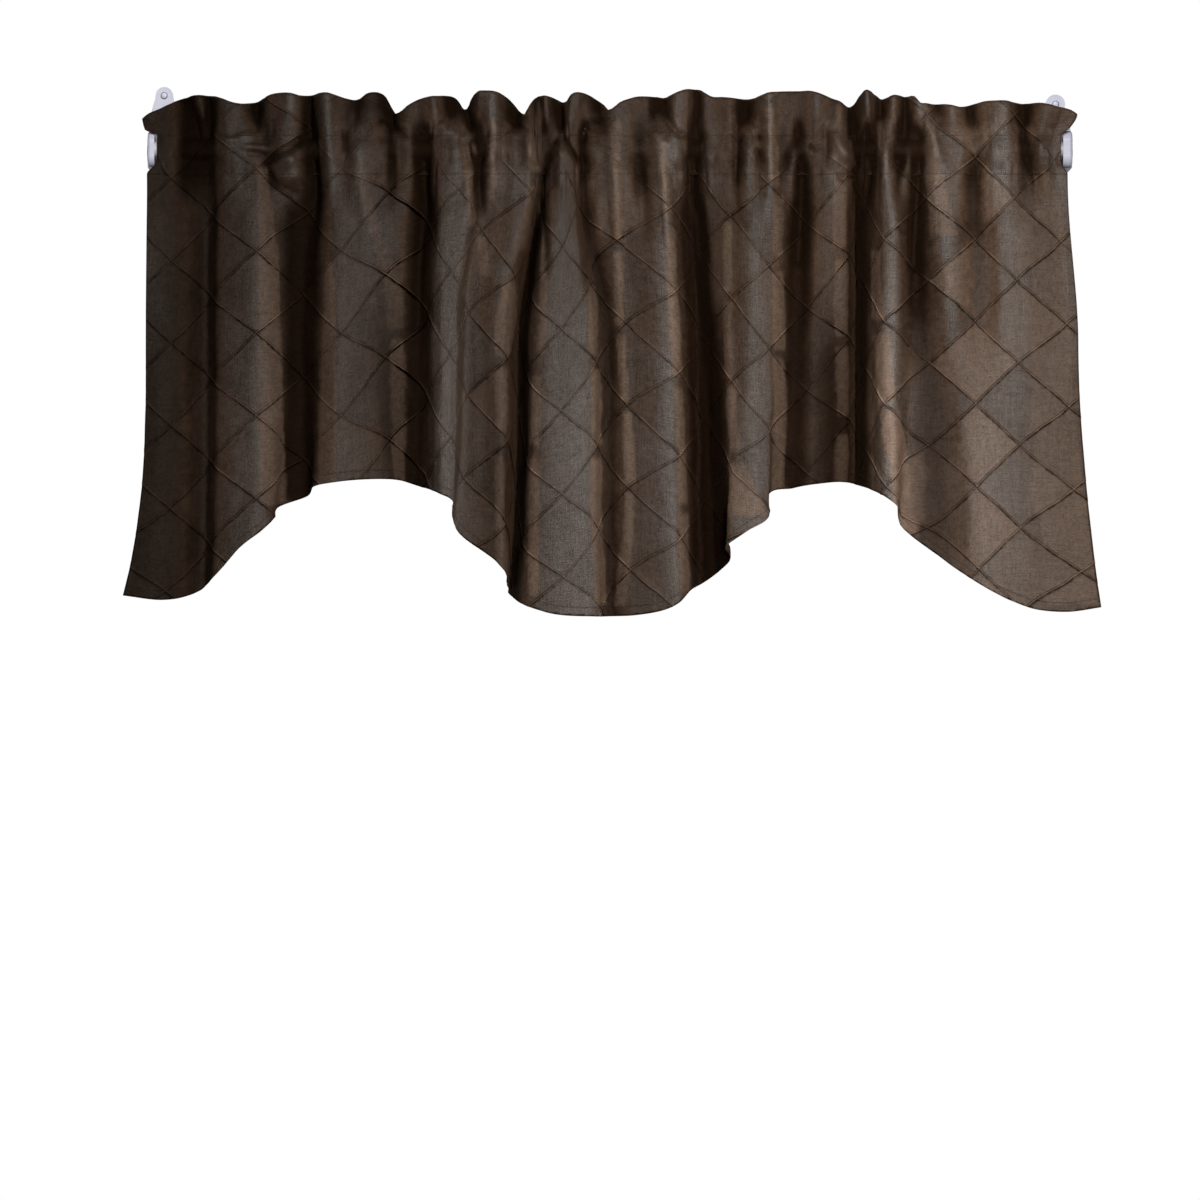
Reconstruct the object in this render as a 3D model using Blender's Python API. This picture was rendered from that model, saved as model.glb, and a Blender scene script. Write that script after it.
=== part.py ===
"""Window valance shirred on a round curtain rod, between two wall brackets.

Frame: X runs along the rod to the viewer's right, Y points into the wall
(the wall plane is Y = 0, the cloth hangs in front of it), Z is up, and the
origin is on the wall plane, level with the rod, at mid-span.

All driving sizes are in millimetres. Places along the rod are "stations",
measured from a datum STATION_MID left of mid-span. Heights are "levels",
measured downwards from a datum ROD_LEVEL above the rod's axis.
"""
import math

import bmesh
import bpy
import numpy as np

for old in list(bpy.data.objects):
    bpy.data.objects.remove(old, do_unlink=True)

MM = 0.001

# ---------------------------------------------------------------- sizes, mm
STATION_MID = 610.0      # station of mid-span
ROD_LEVEL = 149.0        # level of the rod's axis

ROD_Y = -70.0            # rod axis in front of the wall
ROD_R = 8.0
ROD_SIDES = 32

BRACKET_X = 450.5        # bracket centre line from mid-span
PLATE_T = 3.0            # wall plate thickness
CUP_HALF_DEEP = 10.3     # the upright oval cup that takes the rod's end
CUP_OUT = 462.5          # outer face of the cup from mid-span
ARM_OUT = 461.0          # outer face of the arm
CUP_FLOOR = 2.0
ARM_HALF_HIGH = 7.0
GAP = 0.3                # between pieces
LOW_TAB_R = 8.7          # round lower end of the plate
LOW_TAB_Z = -59.0        # its centre from the rod's axis
HOLE_R = 2.4
SCREW_R = 2.05
HEAD_R = 3.6
HEAD_HIGH = 1.9

CLOTH_T = 1.5            # one layer with its pintucks
HEADER_T = 3.0           # the header is two layers, sewn together
SEAM_TOP_Z = 12.9        # upper pocket seam above the rod's axis
SEAM_LOW_Z = -25.5       # lower pocket seam
SEAM_Y = -9.5            # the lower seam stands this far in front of the axis
SKIRT_Y = -7.5           # and the skirt's middle plane this far
FOLD_AT_SEAM = 0.62      # share of a fold's depth at the lower seam
SEAM_BEHIND = -14.0      # no fold is deeper than this at a seam
FOLD_FULL_AT = 0.16      # share of the drop where the fold is full
HEM_FLARE = 1.08         # folds open a little at the hem
MID_AT = 0.40            # share of the drop where x_mid holds
LOW_FROM = 0.25          # the upper section turns into the lower one from here
LOW_OVER = 0.40          # over this share of the drop
LEAN_LEFT = 3.0          # how late the lean to x_hem comes, left end
LEAN_RIGHT = 1.6         # and right end
HEADER_LEAN = 10.0       # the header's foot stands this far in front of its top
HEADER_DEEP = 1.35       # and how its folds deepen
HEADER_OUT = 2.0
POCKET_OUT = 11.0        # the pocket's front, in front of the rod's axis
POCKET_R = 9.6           # the cloth over the rod
REST_SOFT = 24.0         # how softly it comes off the rod, mm2
COLUMN_LONG = 22.0       # longest step between two columns of the surface

# The two brackets: side of mid-span, the upper tab's centre above the rod's
# axis and its radius, and the cup's half height and width along the rod.
BRACKETS = (
    # end      side  tab_z  tab_r  cup_half_high  cup_wide
    ("left",    -1,   59.0,   8.7,   17.5,          7.0),
    ("right",    1,   50.2,   9.8,   18.5,          9.5),
)

# Plate outline beside its axis: the share of the way to a tab's centre, and
# the half width above and below the rod.
PLATE = (
    # share  above  below
    (0.00, 17.5, 17.5),
    (0.24, 17.0, 16.6),
    (0.34, 16.2, 11.2),
    (0.44, 15.5, 10.2),
    (0.61, 14.0, 9.8),
    (0.73, 12.8, 9.3),
    (0.85, 11.0, 8.6),
    (0.93, 9.4, 8.2),
)

# The cup's domed outer end: how far before its outer face, and the share of
# the cup's outline there.
CUP_DOME = (
    # before, share
    (2.6, 1.00),
    (1.1, 0.94),
    (0.3, 0.82),
    (0.0, 0.66),
)

# The cloth's main folds from left to right, a row for each crest, trough or
# the turn of a flank. x_* are stations at the lower pocket seam, at mid
# drop and at the hem; hem is the hem's level.
FOLDS = (
    # fold             x_head   x_mid   x_hem    hem
    ("left edge",          147.5,   146.4,   123.3,  595.5),
    ("left panel",         168.0,   168.0,   160.0,  600.0),
    ("trough 1",           207.0,   206.0,   203.0,  588.0),
    ("crest 2 rise",       228.0,   229.0,   224.0,  566.5),
    ("crest 2 left",       239.0,   240.0,   237.0,  551.0),
    ("crest 2",            262.0,   263.0,   262.0,  530.5),
    ("crest 2 turn",       272.0,   276.0,   273.5,  518.5),
    ("trough 2 flank",     290.0,   288.0,   276.0,  508.0),
    ("trough 2",           313.0,   305.0,   308.0,  495.5),
    ("crest 3 flank",      322.0,   320.0,   313.0,  487.0),
    ("crest 3",            340.0,   340.0,   338.0,  482.0),
    ("crest 3 right",      388.0,   384.0,   392.0,  479.5),
    ("trough 3",           424.0,   418.0,   415.0,  485.0),
    ("crest 4",            446.0,   441.0,   440.0,  494.0),
    ("crest 4 turn",       464.0,   453.0,   453.5,  503.0),
    ("trough 4",           478.0,   461.0,   452.5,  519.0),
    ("crest 5",            522.0,   499.0,   500.0,  565.5),
    ("trough 5 flank",     533.0,   509.0,   505.5,  577.0),
    ("trough 5",           539.0,   518.0,   508.5,  592.0),
    ("trough 5 right",     545.0,   528.0,   518.0,  601.5),
    ("crest 6",            558.0,   547.0,   545.0,  612.0),
    ("crest 6 right",      572.0,   586.0,   594.0,  616.5),
    ("trough 6",           583.0,   609.0,   612.0,  616.3),
    ("crest 7",            612.0,   627.0,   633.0,  615.5),
    ("crest 7 right",      664.0,   674.0,   680.0,  602.0),
    ("trough 7 flank",     682.0,   690.0,   691.0,  589.5),
    ("trough 7",           696.0,   704.0,   709.0,  579.5),
    ("trough 7 right",     712.0,   718.0,   729.5,  562.5),
    ("crest 8 flank",      740.0,   740.0,   729.0,  543.5),
    ("crest 8",            750.0,   748.0,   746.0,  532.0),
    ("crest 8 turn",       763.0,   766.0,   769.0,  514.0),
    ("trough 8 flank",     775.0,   774.0,   767.5,  497.5),
    ("trough 8",           801.0,   796.0,   794.0,  488.0),
    ("crest 9",            820.0,   820.0,   818.0,  483.8),
    ("crest 9 right",      842.0,   842.0,   841.0,  482.0),
    ("trough 9",           856.0,   857.0,   857.0,  484.0),
    ("crest 10",           878.0,   878.0,   880.0,  494.0),
    ("crest 10 turn",      896.0,   897.0,   896.5,  507.5),
    ("trough 10",          914.0,   913.0,   899.0,  524.0),
    ("crest 11",           934.0,   940.0,   943.0,  559.0),
    ("trough 11",          974.0,   974.0,   978.0,  583.5),
    ("crest 12",          1003.0,  1006.0,  1010.0,  600.5),
    ("trough 12",         1024.0,  1030.0,  1036.0,  609.5),
    ("crest 13",          1048.0,  1056.0,  1070.0,  611.8),
    ("right edge",        1067.0,  1078.0,  1101.0,  607.3),
)

# The folds' section: station at mid drop, and how far the cloth stands in
# front of the skirt's middle plane in the upper and in the lower skirt.
PROFILE = (
    # x_mid   upper  lower
    (146.4, 9.0, 5.0), (160.0, 8.0, 8.0), (176.0, 6.0, 7.0), (187.0, 0.0, 1.0),
    (196.0, -10.0, -9.0), (206.0, -17.0, -15.0), (213.0, -11.0, -9.0), (218.0, -2.0, -2.0),
    (228.0, 2.0, 2.0), (240.0, 5.0, 5.0), (256.0, 8.0, 8.0), (268.0, 4.0, 5.0),
    (280.0, -5.0, -3.0), (291.0, -15.0, -13.0), (301.0, -20.0, -19.0), (312.0, -14.0, -12.0),
    (320.0, -4.0, -4.0), (329.0, 3.0, 2.0), (337.0, 6.0, 6.0), (350.0, 7.0, 4.0),
    (366.0, 8.0, 2.0), (378.0, 7.0, -3.0), (392.0, 4.0, -5.0), (404.0, -2.0, -8.0),
    (412.0, -12.0, -12.0), (419.0, -18.0, -13.0), (426.0, -10.0, -7.0), (431.0, 2.0, 3.0),
    (437.0, 12.0, 13.0), (443.0, 15.0, 17.0), (449.0, 15.0, 17.0), (453.0, 14.0, 15.0),
    (457.0, 12.0, 13.0), (460.0, 8.0, 8.0), (463.0, 2.0, 1.0), (466.0, -2.0, -2.0),
    (470.0, -3.0, -2.0), (476.0, -1.0, 0.0), (484.0, 2.0, 2.0), (494.0, 6.0, 6.0),
    (502.0, 7.0, 7.0), (508.0, 1.0, 0.0), (512.0, -14.0, -14.0), (518.0, -38.0, -40.0),
    (523.0, -27.0, -27.0), (527.0, -13.0, -12.0), (531.0, -2.0, -1.0), (536.0, 5.0, 6.0),
    (541.0, 8.0, 9.0), (550.0, 11.0, 12.0), (568.0, 13.0, 14.0), (586.0, 11.0, 12.0),
    (594.0, 6.0, 7.0), (600.0, -3.0, -2.0), (609.0, -10.0, -9.0), (617.0, -4.0, -4.0),
    (624.0, 0.0, 0.0), (632.0, -1.0, 1.0), (640.0, 1.0, 3.0), (650.0, 5.0, 6.0),
    (660.0, 9.0, 9.0), (672.0, 10.0, 10.0), (679.0, 6.0, 6.0), (686.0, -7.0, -2.0),
    (695.0, -28.0, -16.0), (703.0, -27.0, -34.0), (708.0, -16.0, -36.0), (714.0, -7.0, -22.0),
    (722.0, -4.0, -8.0), (729.0, -1.0, 2.0), (736.0, 2.0, 5.0), (741.0, 6.0, 8.0),
    (750.0, 11.0, 12.0), (762.0, 10.0, 10.0), (770.0, 6.0, 7.0), (778.0, 1.0, 1.0),
    (785.0, -7.0, -6.0), (793.0, -15.0, -13.0), (800.0, -16.0, -12.0), (806.0, -12.0, -9.0),
    (813.0, -3.0, -6.0), (822.0, 2.0, -8.0), (832.0, 2.0, -10.0), (840.0, -1.0, -8.0),
    (847.0, -5.0, -9.0), (852.0, -20.0, -20.0), (857.0, -36.0, -38.0), (862.0, -26.0, -24.0),
    (867.0, -14.0, -8.0), (872.0, -9.0, -1.0), (878.0, 2.0, 7.0), (884.0, 9.0, 13.0),
    (892.0, 11.0, 15.0), (899.0, 8.0, 11.0), (905.0, -3.0, 4.0), (912.0, -15.0, -2.0),
    (921.0, -15.0, -5.0), (929.0, -5.0, -6.0), (938.0, 5.0, -5.0), (948.0, 11.0, -2.0),
    (957.0, 9.0, 2.0), (966.0, 2.0, 6.0), (976.0, -4.0, 8.0), (986.0, -2.0, 8.0),
    (1000.0, 6.0, 7.0), (1020.0, 7.0, 6.0), (1040.0, 4.0, 4.0), (1060.0, 4.0, 2.0),
    (1078.0, 6.0, -1.0),
)

# The header ruffle's own small folds: station, level of its top edge and
# how far the top edge stands proud.
RUFFLE = (
    # at       top    proud
    (142.5, 118.0, 4.0), (148.0, 114.0, 5.0), (158.0, 109.5, 4.0), (168.0, 104.5, 2.0),
    (176.0, 100.5, -1.0), (184.0, 97.2, -6.0), (192.0, 94.8, -2.0), (199.0, 94.6, -3.0),
    (206.0, 94.6, -8.0), (214.0, 95.4, -1.0), (222.0, 98.2, 4.0), (232.0, 102.2, 6.0),
    (240.0, 103.6, 4.0), (248.0, 102.8, -3.0), (256.0, 101.0, -8.0), (263.0, 97.5, -4.0),
    (270.0, 94.4, 1.0), (280.0, 92.8, 4.0), (292.0, 93.4, 7.0), (299.0, 95.2, 2.0),
    (306.0, 94.6, -7.0), (313.0, 93.4, -6.0), (320.0, 92.9, 4.0), (327.0, 92.8, 6.0),
    (336.0, 95.0, 2.0), (346.0, 97.8, -3.0), (356.0, 99.0, -5.0), (362.0, 96.0, -4.0),
    (366.0, 93.0, -3.0), (373.0, 91.4, -3.0), (380.0, 92.0, -6.0), (386.0, 96.0, -8.0),
    (391.0, 106.0, -10.0), (395.0, 112.2, -9.0), (400.0, 111.2, -3.0), (408.0, 104.9, 2.0),
    (418.0, 99.4, 1.0), (428.0, 96.8, 4.0), (438.0, 95.8, 3.0), (446.0, 94.8, -5.0),
    (452.0, 95.6, -6.0), (458.0, 100.0, -7.0), (463.5, 108.2, -5.0), (468.0, 105.5, -8.0),
    (473.0, 95.0, -4.0), (478.0, 91.2, 4.0), (485.0, 90.8, 7.0), (492.0, 91.2, 6.0),
    (499.0, 92.6, 1.0), (507.0, 97.3, -6.0), (514.0, 103.9, -8.0), (521.0, 111.8, -4.0),
    (524.5, 114.2, -1.0), (529.0, 105.2, 0.0), (534.0, 98.3, -4.0), (539.0, 95.7, 1.0),
    (545.0, 95.6, 6.0), (551.0, 96.4, -4.0), (557.0, 98.4, -10.0), (562.0, 100.2, -10.0),
    (567.0, 99.5, -2.0), (571.0, 94.8, 4.0), (576.0, 92.7, 6.0), (583.0, 92.8, 2.0),
    (590.0, 94.9, -4.0), (598.0, 99.7, -8.0), (604.0, 104.3, -3.0), (608.5, 110.0, 4.0),
    (613.0, 108.0, 6.0), (620.0, 102.2, 5.0), (628.0, 98.9, 3.0), (637.0, 96.2, 0.0),
    (648.0, 95.8, -2.0), (657.0, 95.8, -7.0), (664.0, 96.6, -9.0), (670.0, 95.2, 1.0),
    (678.0, 91.8, 6.0), (686.0, 89.2, 4.0), (694.0, 88.7, -2.0), (700.0, 89.2, -1.0),
    (705.0, 93.0, 5.0), (711.0, 96.5, 5.0), (722.0, 96.8, 1.0), (732.0, 97.5, 0.0),
    (739.0, 97.8, -6.0), (746.0, 97.8, -10.0), (753.0, 97.6, -5.0), (760.0, 95.8, 4.0),
    (768.0, 93.0, 7.0), (778.0, 91.7, 4.0), (790.0, 91.0, 1.0), (800.0, 90.8, 0.0),
    (810.0, 90.8, 4.0), (817.0, 92.6, 7.0), (825.0, 95.2, 3.0), (833.0, 98.3, -1.0),
    (840.0, 100.9, 1.0), (846.0, 104.4, -3.0), (850.0, 105.8, -7.0), (855.0, 103.0, -7.0),
    (860.0, 95.4, -1.0), (864.0, 90.8, 4.0), (870.0, 90.9, 2.0), (876.0, 94.2, -5.0),
    (882.0, 97.8, -8.0), (887.0, 97.2, 0.0), (893.0, 94.8, 4.0), (900.0, 95.0, -1.0),
    (907.0, 95.6, -4.0), (912.0, 95.4, 2.0), (916.0, 97.4, 6.0), (919.0, 102.0, 7.0),
    (926.0, 103.2, 5.0), (935.0, 103.8, -3.0), (942.0, 103.5, 1.0), (951.0, 105.0, 6.0),
    (960.0, 106.7, 2.0), (968.0, 105.2, -4.0), (976.0, 103.0, -2.0), (985.0, 100.9, 1.0),
    (996.0, 100.6, 5.0), (1006.0, 100.8, 6.0), (1014.0, 101.9, -2.0), (1022.0, 102.6, -7.0),
    (1030.0, 102.6, -4.0), (1040.0, 102.6, 3.0), (1049.0, 104.2, 5.0), (1058.0, 106.3, 4.0),
    (1066.0, 108.4, 4.0), (1072.0, 110.5, 4.0), (1077.0, 114.0, 4.0),
)

# The puckers along the rod pocket: station and how far each stands proud.
PLEATS = (
    # at       proud
    (148.0, 2.0), (160.0, 4.0), (170.0, 4.0), (178.0, -3.0), (186.0, -8.0), (198.0, -11.0),
    (210.0, -8.0), (217.0, -4.0), (226.0, 4.0), (238.0, 6.0), (248.0, 5.0), (258.0, 1.0),
    (268.0, -4.0), (276.0, -1.0), (284.0, 4.0), (291.0, 3.0), (299.0, -2.0), (308.0, -8.0),
    (314.0, -9.0), (321.0, -2.0), (328.0, 5.0), (337.0, 3.0), (345.0, -1.0), (353.0, 5.0),
    (361.0, 7.0), (370.0, 3.0), (378.0, 1.0), (385.0, -2.0), (392.0, -8.0), (400.0, 1.0),
    (408.0, 2.0), (415.0, -6.0), (423.0, -9.0), (431.0, -4.0), (439.0, 2.0), (448.0, 5.0),
    (456.0, 9.0), (464.0, 3.0), (472.0, -3.0), (479.0, -9.0), (484.0, -3.0), (488.0, 8.0),
    (496.0, 5.0), (504.0, 1.0), (513.0, 5.0), (521.0, 7.0), (528.0, 11.0), (534.0, 4.0),
    (541.0, -1.0), (549.0, -4.0), (556.0, 0.0), (563.0, 4.0), (570.0, 5.0), (577.0, 0.0),
    (583.0, -8.0), (588.0, 0.0), (594.0, 5.0), (602.0, 7.0), (612.0, 10.0), (620.0, 10.0),
    (628.0, 5.0), (636.0, -4.0), (643.0, -4.0), (650.0, 2.0), (657.0, 8.0), (666.0, 8.0),
    (675.0, 8.0), (682.0, 3.0), (688.0, -6.0), (694.0, -10.0), (699.0, -3.0), (705.0, 5.0),
    (713.0, 8.0), (721.0, 4.0), (729.0, 1.0), (736.0, -8.0), (741.0, 0.0), (746.0, 7.0),
    (753.0, 7.0), (760.0, -3.0), (765.0, 5.0), (769.0, 7.0), (776.0, -2.0), (785.0, -3.0),
    (792.0, 0.0), (800.0, -7.0), (807.0, -2.0), (816.0, 1.0), (824.0, 3.0), (832.0, 9.0),
    (841.0, 8.0), (849.0, 1.0), (856.0, -9.0), (862.0, -5.0), (868.0, -11.0), (874.0, -8.0),
    (880.0, 2.0), (887.0, 5.0), (892.0, 0.0), (897.0, -9.0), (903.0, -3.0), (907.0, -2.0),
    (914.0, -8.0), (921.0, -6.0), (927.0, 5.0), (934.0, 10.0), (942.0, 5.0), (952.0, 4.0),
    (962.0, 5.0), (970.0, -1.0), (977.0, -4.0), (985.0, 2.0), (994.0, 9.0), (1004.0, 8.0),
    (1014.0, 2.0), (1023.0, -5.0), (1031.0, 1.0), (1040.0, 6.0), (1048.0, 2.0), (1056.0, 8.0),
    (1067.0, 6.0),
)

# Header notches and peaks that get a column of the surface of their own.
NOTCHES = (184.0, 373.0, 391.0, 396.0, 463.5, 473.0, 524.5, 557.0, 567.0, 608.5, 657.0, 700.0,
           747.0, 848.0, 864.0, 876.0, 918.0, 961.0)

# Where the cloth's two ends stand at each level above the skirt.
ENDS = (
    # level           left    right
    ("header top",    142.5,  1077.0),
    ("header low",    145.5,  1068.5),
    ("upper seam",    157.5,  1060.5),
    ("pocket",        157.5,  1059.5),
    ("lower seam",    147.5,  1067.0),
)
END_REACH = 42.0         # the ends' flare dies out over this length

# One half of the rod pocket's section, front and back: height of each row,
# least distance in front of the axis, and distance behind it.
POCKET = (
    # row      above axis   front least   behind
    ("upper",        8.9,         6.8,       8.9),
    ("middle",       0.0,        10.7,      11.5),
    ("lower",      -19.0,         6.0,       6.5),
)
POCKET_FOLD_BACK = 6.0   # puckers stand this much further out behind

SKIRT_ROWS = (0.06, 0.15, 0.28, 0.43, 0.58, 0.76, 0.90, 1.0)


# ------------------------------------------------------------- small helpers
def smooth(t):
    t = min(1.0, max(0.0, t))
    return t * t * (3.0 - 2.0 * t)


def mix(a, b, t):
    return a + (b - a) * t


class Track:
    """A smooth curve through rows of values, against a rising parameter."""

    def __init__(self, at, rows, pull=0.9):
        self.at = np.asarray(at, float)
        self.rows = np.asarray(rows, float)
        if self.rows.ndim == 1:
            self.rows = self.rows[:, None]
        span = np.diff(self.at)[:, None]
        slope = np.diff(self.rows, axis=0) / span
        tangent = np.empty_like(self.rows)
        tangent[0], tangent[-1] = slope[0], slope[-1]
        tangent[1:-1] = ((slope[1:] * span[:-1] + slope[:-1] * span[1:])
                         / (span[:-1] + span[1:]))
        self.tangent = tangent * pull

    def __call__(self, s):
        s = min(self.at[-1], max(self.at[0], s))
        k = min(len(self.at) - 2, int(np.searchsorted(self.at, s, "right")) - 1)
        h = self.at[k + 1] - self.at[k]
        t = (s - self.at[k]) / h
        a, b = self.rows[k], self.rows[k + 1]
        ma, mb = self.tangent[k] * h, self.tangent[k + 1] * h
        value = ((2 * t ** 3 - 3 * t ** 2 + 1) * a + (t ** 3 - 2 * t ** 2 + t) * ma
                 + (-2 * t ** 3 + 3 * t ** 2) * b + (t ** 3 - t ** 2) * mb)
        return value if len(value) > 1 else float(value[0])


def plain_material(name, colour, roughness, metallic=0.0):
    material = bpy.data.materials.new(name)
    material.use_nodes = True
    shader = material.node_tree.nodes["Principled BSDF"]
    shader.inputs["Base Color"].default_value = (*colour, 1.0)
    shader.inputs["Roughness"].default_value = roughness
    shader.inputs["Metallic"].default_value = metallic
    return material


def add_object(name, bm, material, sharp_deg=None):
    mesh = bpy.data.meshes.new(name)
    bm.to_mesh(mesh)
    bm.free()
    obj = bpy.data.objects.new(name, mesh)
    bpy.context.scene.collection.objects.link(obj)
    if material is not None:
        mesh.materials.append(material)
    if sharp_deg is not None:
        mesh.shade_smooth()
        mesh.set_sharp_from_angle(angle=math.radians(sharp_deg))
    return obj


CLOTH = plain_material("taffeta", (0.052, 0.038, 0.030), 0.45)
PLASTIC = plain_material("bracket_plastic", (0.82, 0.81, 0.85), 0.38)
ROD_PAINT = plain_material("rod_enamel", (0.84, 0.83, 0.82), 0.30)
SCREW_STEEL = plain_material("screw_steel", (0.62, 0.62, 0.64), 0.35, 1.0)


# ------------------------------------------------------------------ the cloth
def columns():
    """Rows of the surface across the folds: x_head, x_mid, x_hem, hem, upper, lower."""
    rows = np.array([row[1:] for row in FOLDS], float)
    plan = Track(rows[:, 1], rows[:, (0, 2, 3)])
    section = np.array(PROFILE, float)
    length = np.concatenate([[0.0], np.cumsum(np.linalg.norm(np.diff(section[:, ::2], axis=0), axis=1))])
    profile = Track(length, section)
    at = []
    for a, b in zip(length[:-1], length[1:]):
        n = int(math.ceil((b - a) / COLUMN_LONG))
        at += [mix(a, b, i / n) for i in range(n)]
    at.append(length[-1])
    fine = np.linspace(0.0, length[-1], 3000)
    heads = np.maximum.accumulate([plan(profile(s)[0])[0] for s in fine])
    for station in NOTCHES:
        s = float(np.interp(station, heads, fine))
        if min(abs(s - other) for other in at) > 3.5:
            at.append(s)
    out = []
    for s in sorted(at):
        x_mid, upper, lower = profile(s)
        x_head, x_hem, hem = plan(x_mid)
        out.append((x_head, x_mid, x_hem, hem, upper, lower))
    return out


def end_shift(level, head_x):
    """How far a station near an end is moved at this level."""
    left = ENDS[level][1] - FOLDS[0][1]
    right = ENDS[level][2] - FOLDS[-1][1]
    from_left = max(0.0, 1.0 - (head_x - FOLDS[0][1]) / END_REACH)
    from_right = max(0.0, 1.0 - (FOLDS[-1][1] - head_x) / END_REACH)
    return left * from_left ** 2 + right * from_right ** 2


def skirt_point(row, at_seam, t):
    x_head, x_mid, x_hem, hem, upper, lower = row
    if t < MID_AT:
        x = mix(x_head, x_mid, smooth(t / MID_AT))
    else:
        across = (x_mid - FOLDS[0][2]) / (FOLDS[-1][2] - FOLDS[0][2])
        x = mix(x_mid, x_hem, ((t - MID_AT) / (1.0 - MID_AT)) ** mix(LEAN_LEFT, LEAN_RIGHT, across))
    stands = mix(upper, lower, smooth((t - LOW_FROM) / LOW_OVER))
    stands = mix(at_seam, stands, smooth(t / FOLD_FULL_AT)) * mix(1.0, HEM_FLARE, t)
    z = SEAM_LOW_Z - t * (hem - ROD_LEVEL + SEAM_LOW_Z)
    return (x - STATION_MID, ROD_Y + mix(SEAM_Y, SKIRT_Y, smooth(t / 0.1)) - stands, z)


def pocket_out(z, seam_proud, full, low_proud):
    """How far the pocket's front stands in front of the rod's axis at a height."""
    share = (SEAM_TOP_Z - z) / (SEAM_TOP_Z - SEAM_LOW_Z)
    if share < 0.5:
        hangs = mix(seam_proud, full, smooth(share / 0.45))
    else:
        hangs = mix(full, low_proud, smooth((share - 0.55) / 0.45))
    if abs(z) < POCKET_R:
        rests = math.sqrt(POCKET_R ** 2 - z ** 2)
    else:
        rests = -4.0 * (abs(z) - POCKET_R)
    out = 0.5 * (hangs + rests + math.sqrt((hangs - rests) ** 2 + REST_SOFT))
    return mix(hangs, out, smooth(min(share, 1.0 - share) / 0.12))


def surface_grids():
    """Middle surfaces: the front run, and the back run behind the rod."""
    ruffle = Track([r[0] for r in RUFFLE], [r[1:] for r in RUFFLE])
    pucker = Track([r[0] for r in PLEATS], [r[1] for r in PLEATS])
    front, back = [], []
    for row in columns():
        x_head, upper = row[0], row[4]
        pleat = pucker(x_head)
        top_x = x_head + end_shift(0, x_head)
        top_level, top_proud = ruffle(top_x)
        top_z = ROD_LEVEL - top_level
        top_proud = top_proud * HEADER_DEEP + HEADER_OUT
        seam_proud = mix(top_proud * 0.6, pleat * 0.9, 0.65) + HEADER_LEAN
        edge = max(0.0, 1.0 - (min(x_head - FOLDS[0][1], FOLDS[-1][1] - x_head)) / END_REACH)
        bend = mix(0.5, 0.7, edge)
        header = [
            (top_x - STATION_MID, ROD_Y - top_proud, top_z),
            (x_head + end_shift(1, x_head) - STATION_MID, ROD_Y - mix(top_proud, seam_proud, bend ** 1.2),
             mix(top_z, SEAM_TOP_Z, bend)),
            (x_head + end_shift(2, x_head) - STATION_MID, ROD_Y - seam_proud, SEAM_TOP_Z),
        ]
        at_seam = mix(pleat, max(upper, SEAM_BEHIND) * FOLD_AT_SEAM, 0.5)
        pocket_front, pocket_back = [], []
        for i, (_, z, least, behind) in enumerate(POCKET):
            share = (i + 1) / (len(POCKET) + 1)
            local = mix(top_proud, upper * 0.5, share)
            bulge = min(1.0, max(0.0, 0.5 + local / 22.0)) * math.sin(math.pi * mix(0.3, 0.75, share))
            x = x_head + end_shift(3, x_head) - STATION_MID
            out = max(least, pocket_out(z, seam_proud, POCKET_OUT + pleat, at_seam - SEAM_Y))
            pocket_front.append((x, ROD_Y - out, z))
            pocket_back.append((x, ROD_Y + behind + POCKET_FOLD_BACK * (1.0 - bulge), z))
        seam = list(skirt_point(row, at_seam, 0.0))
        seam[0] = x_head + end_shift(4, x_head) - STATION_MID
        skirt = [tuple(seam)] + [skirt_point(row, at_seam, t) for t in SKIRT_ROWS]
        front.append(header + pocket_front + skirt)
        back.append(header + pocket_back + skirt)
    return np.array(front), np.array(back)


def facing(grid):
    """Unit normals of a grid of points, towards the room."""
    step = np.diff(grid, axis=0)
    step = step / np.linalg.norm(step, axis=2, keepdims=True)
    across = np.concatenate([step[:1], step[:-1] + step[1:], step[-1:]], axis=0)
    down = np.gradient(grid, axis=1)
    n = np.cross(down, across)
    return n / np.linalg.norm(n, axis=2, keepdims=True)


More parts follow.
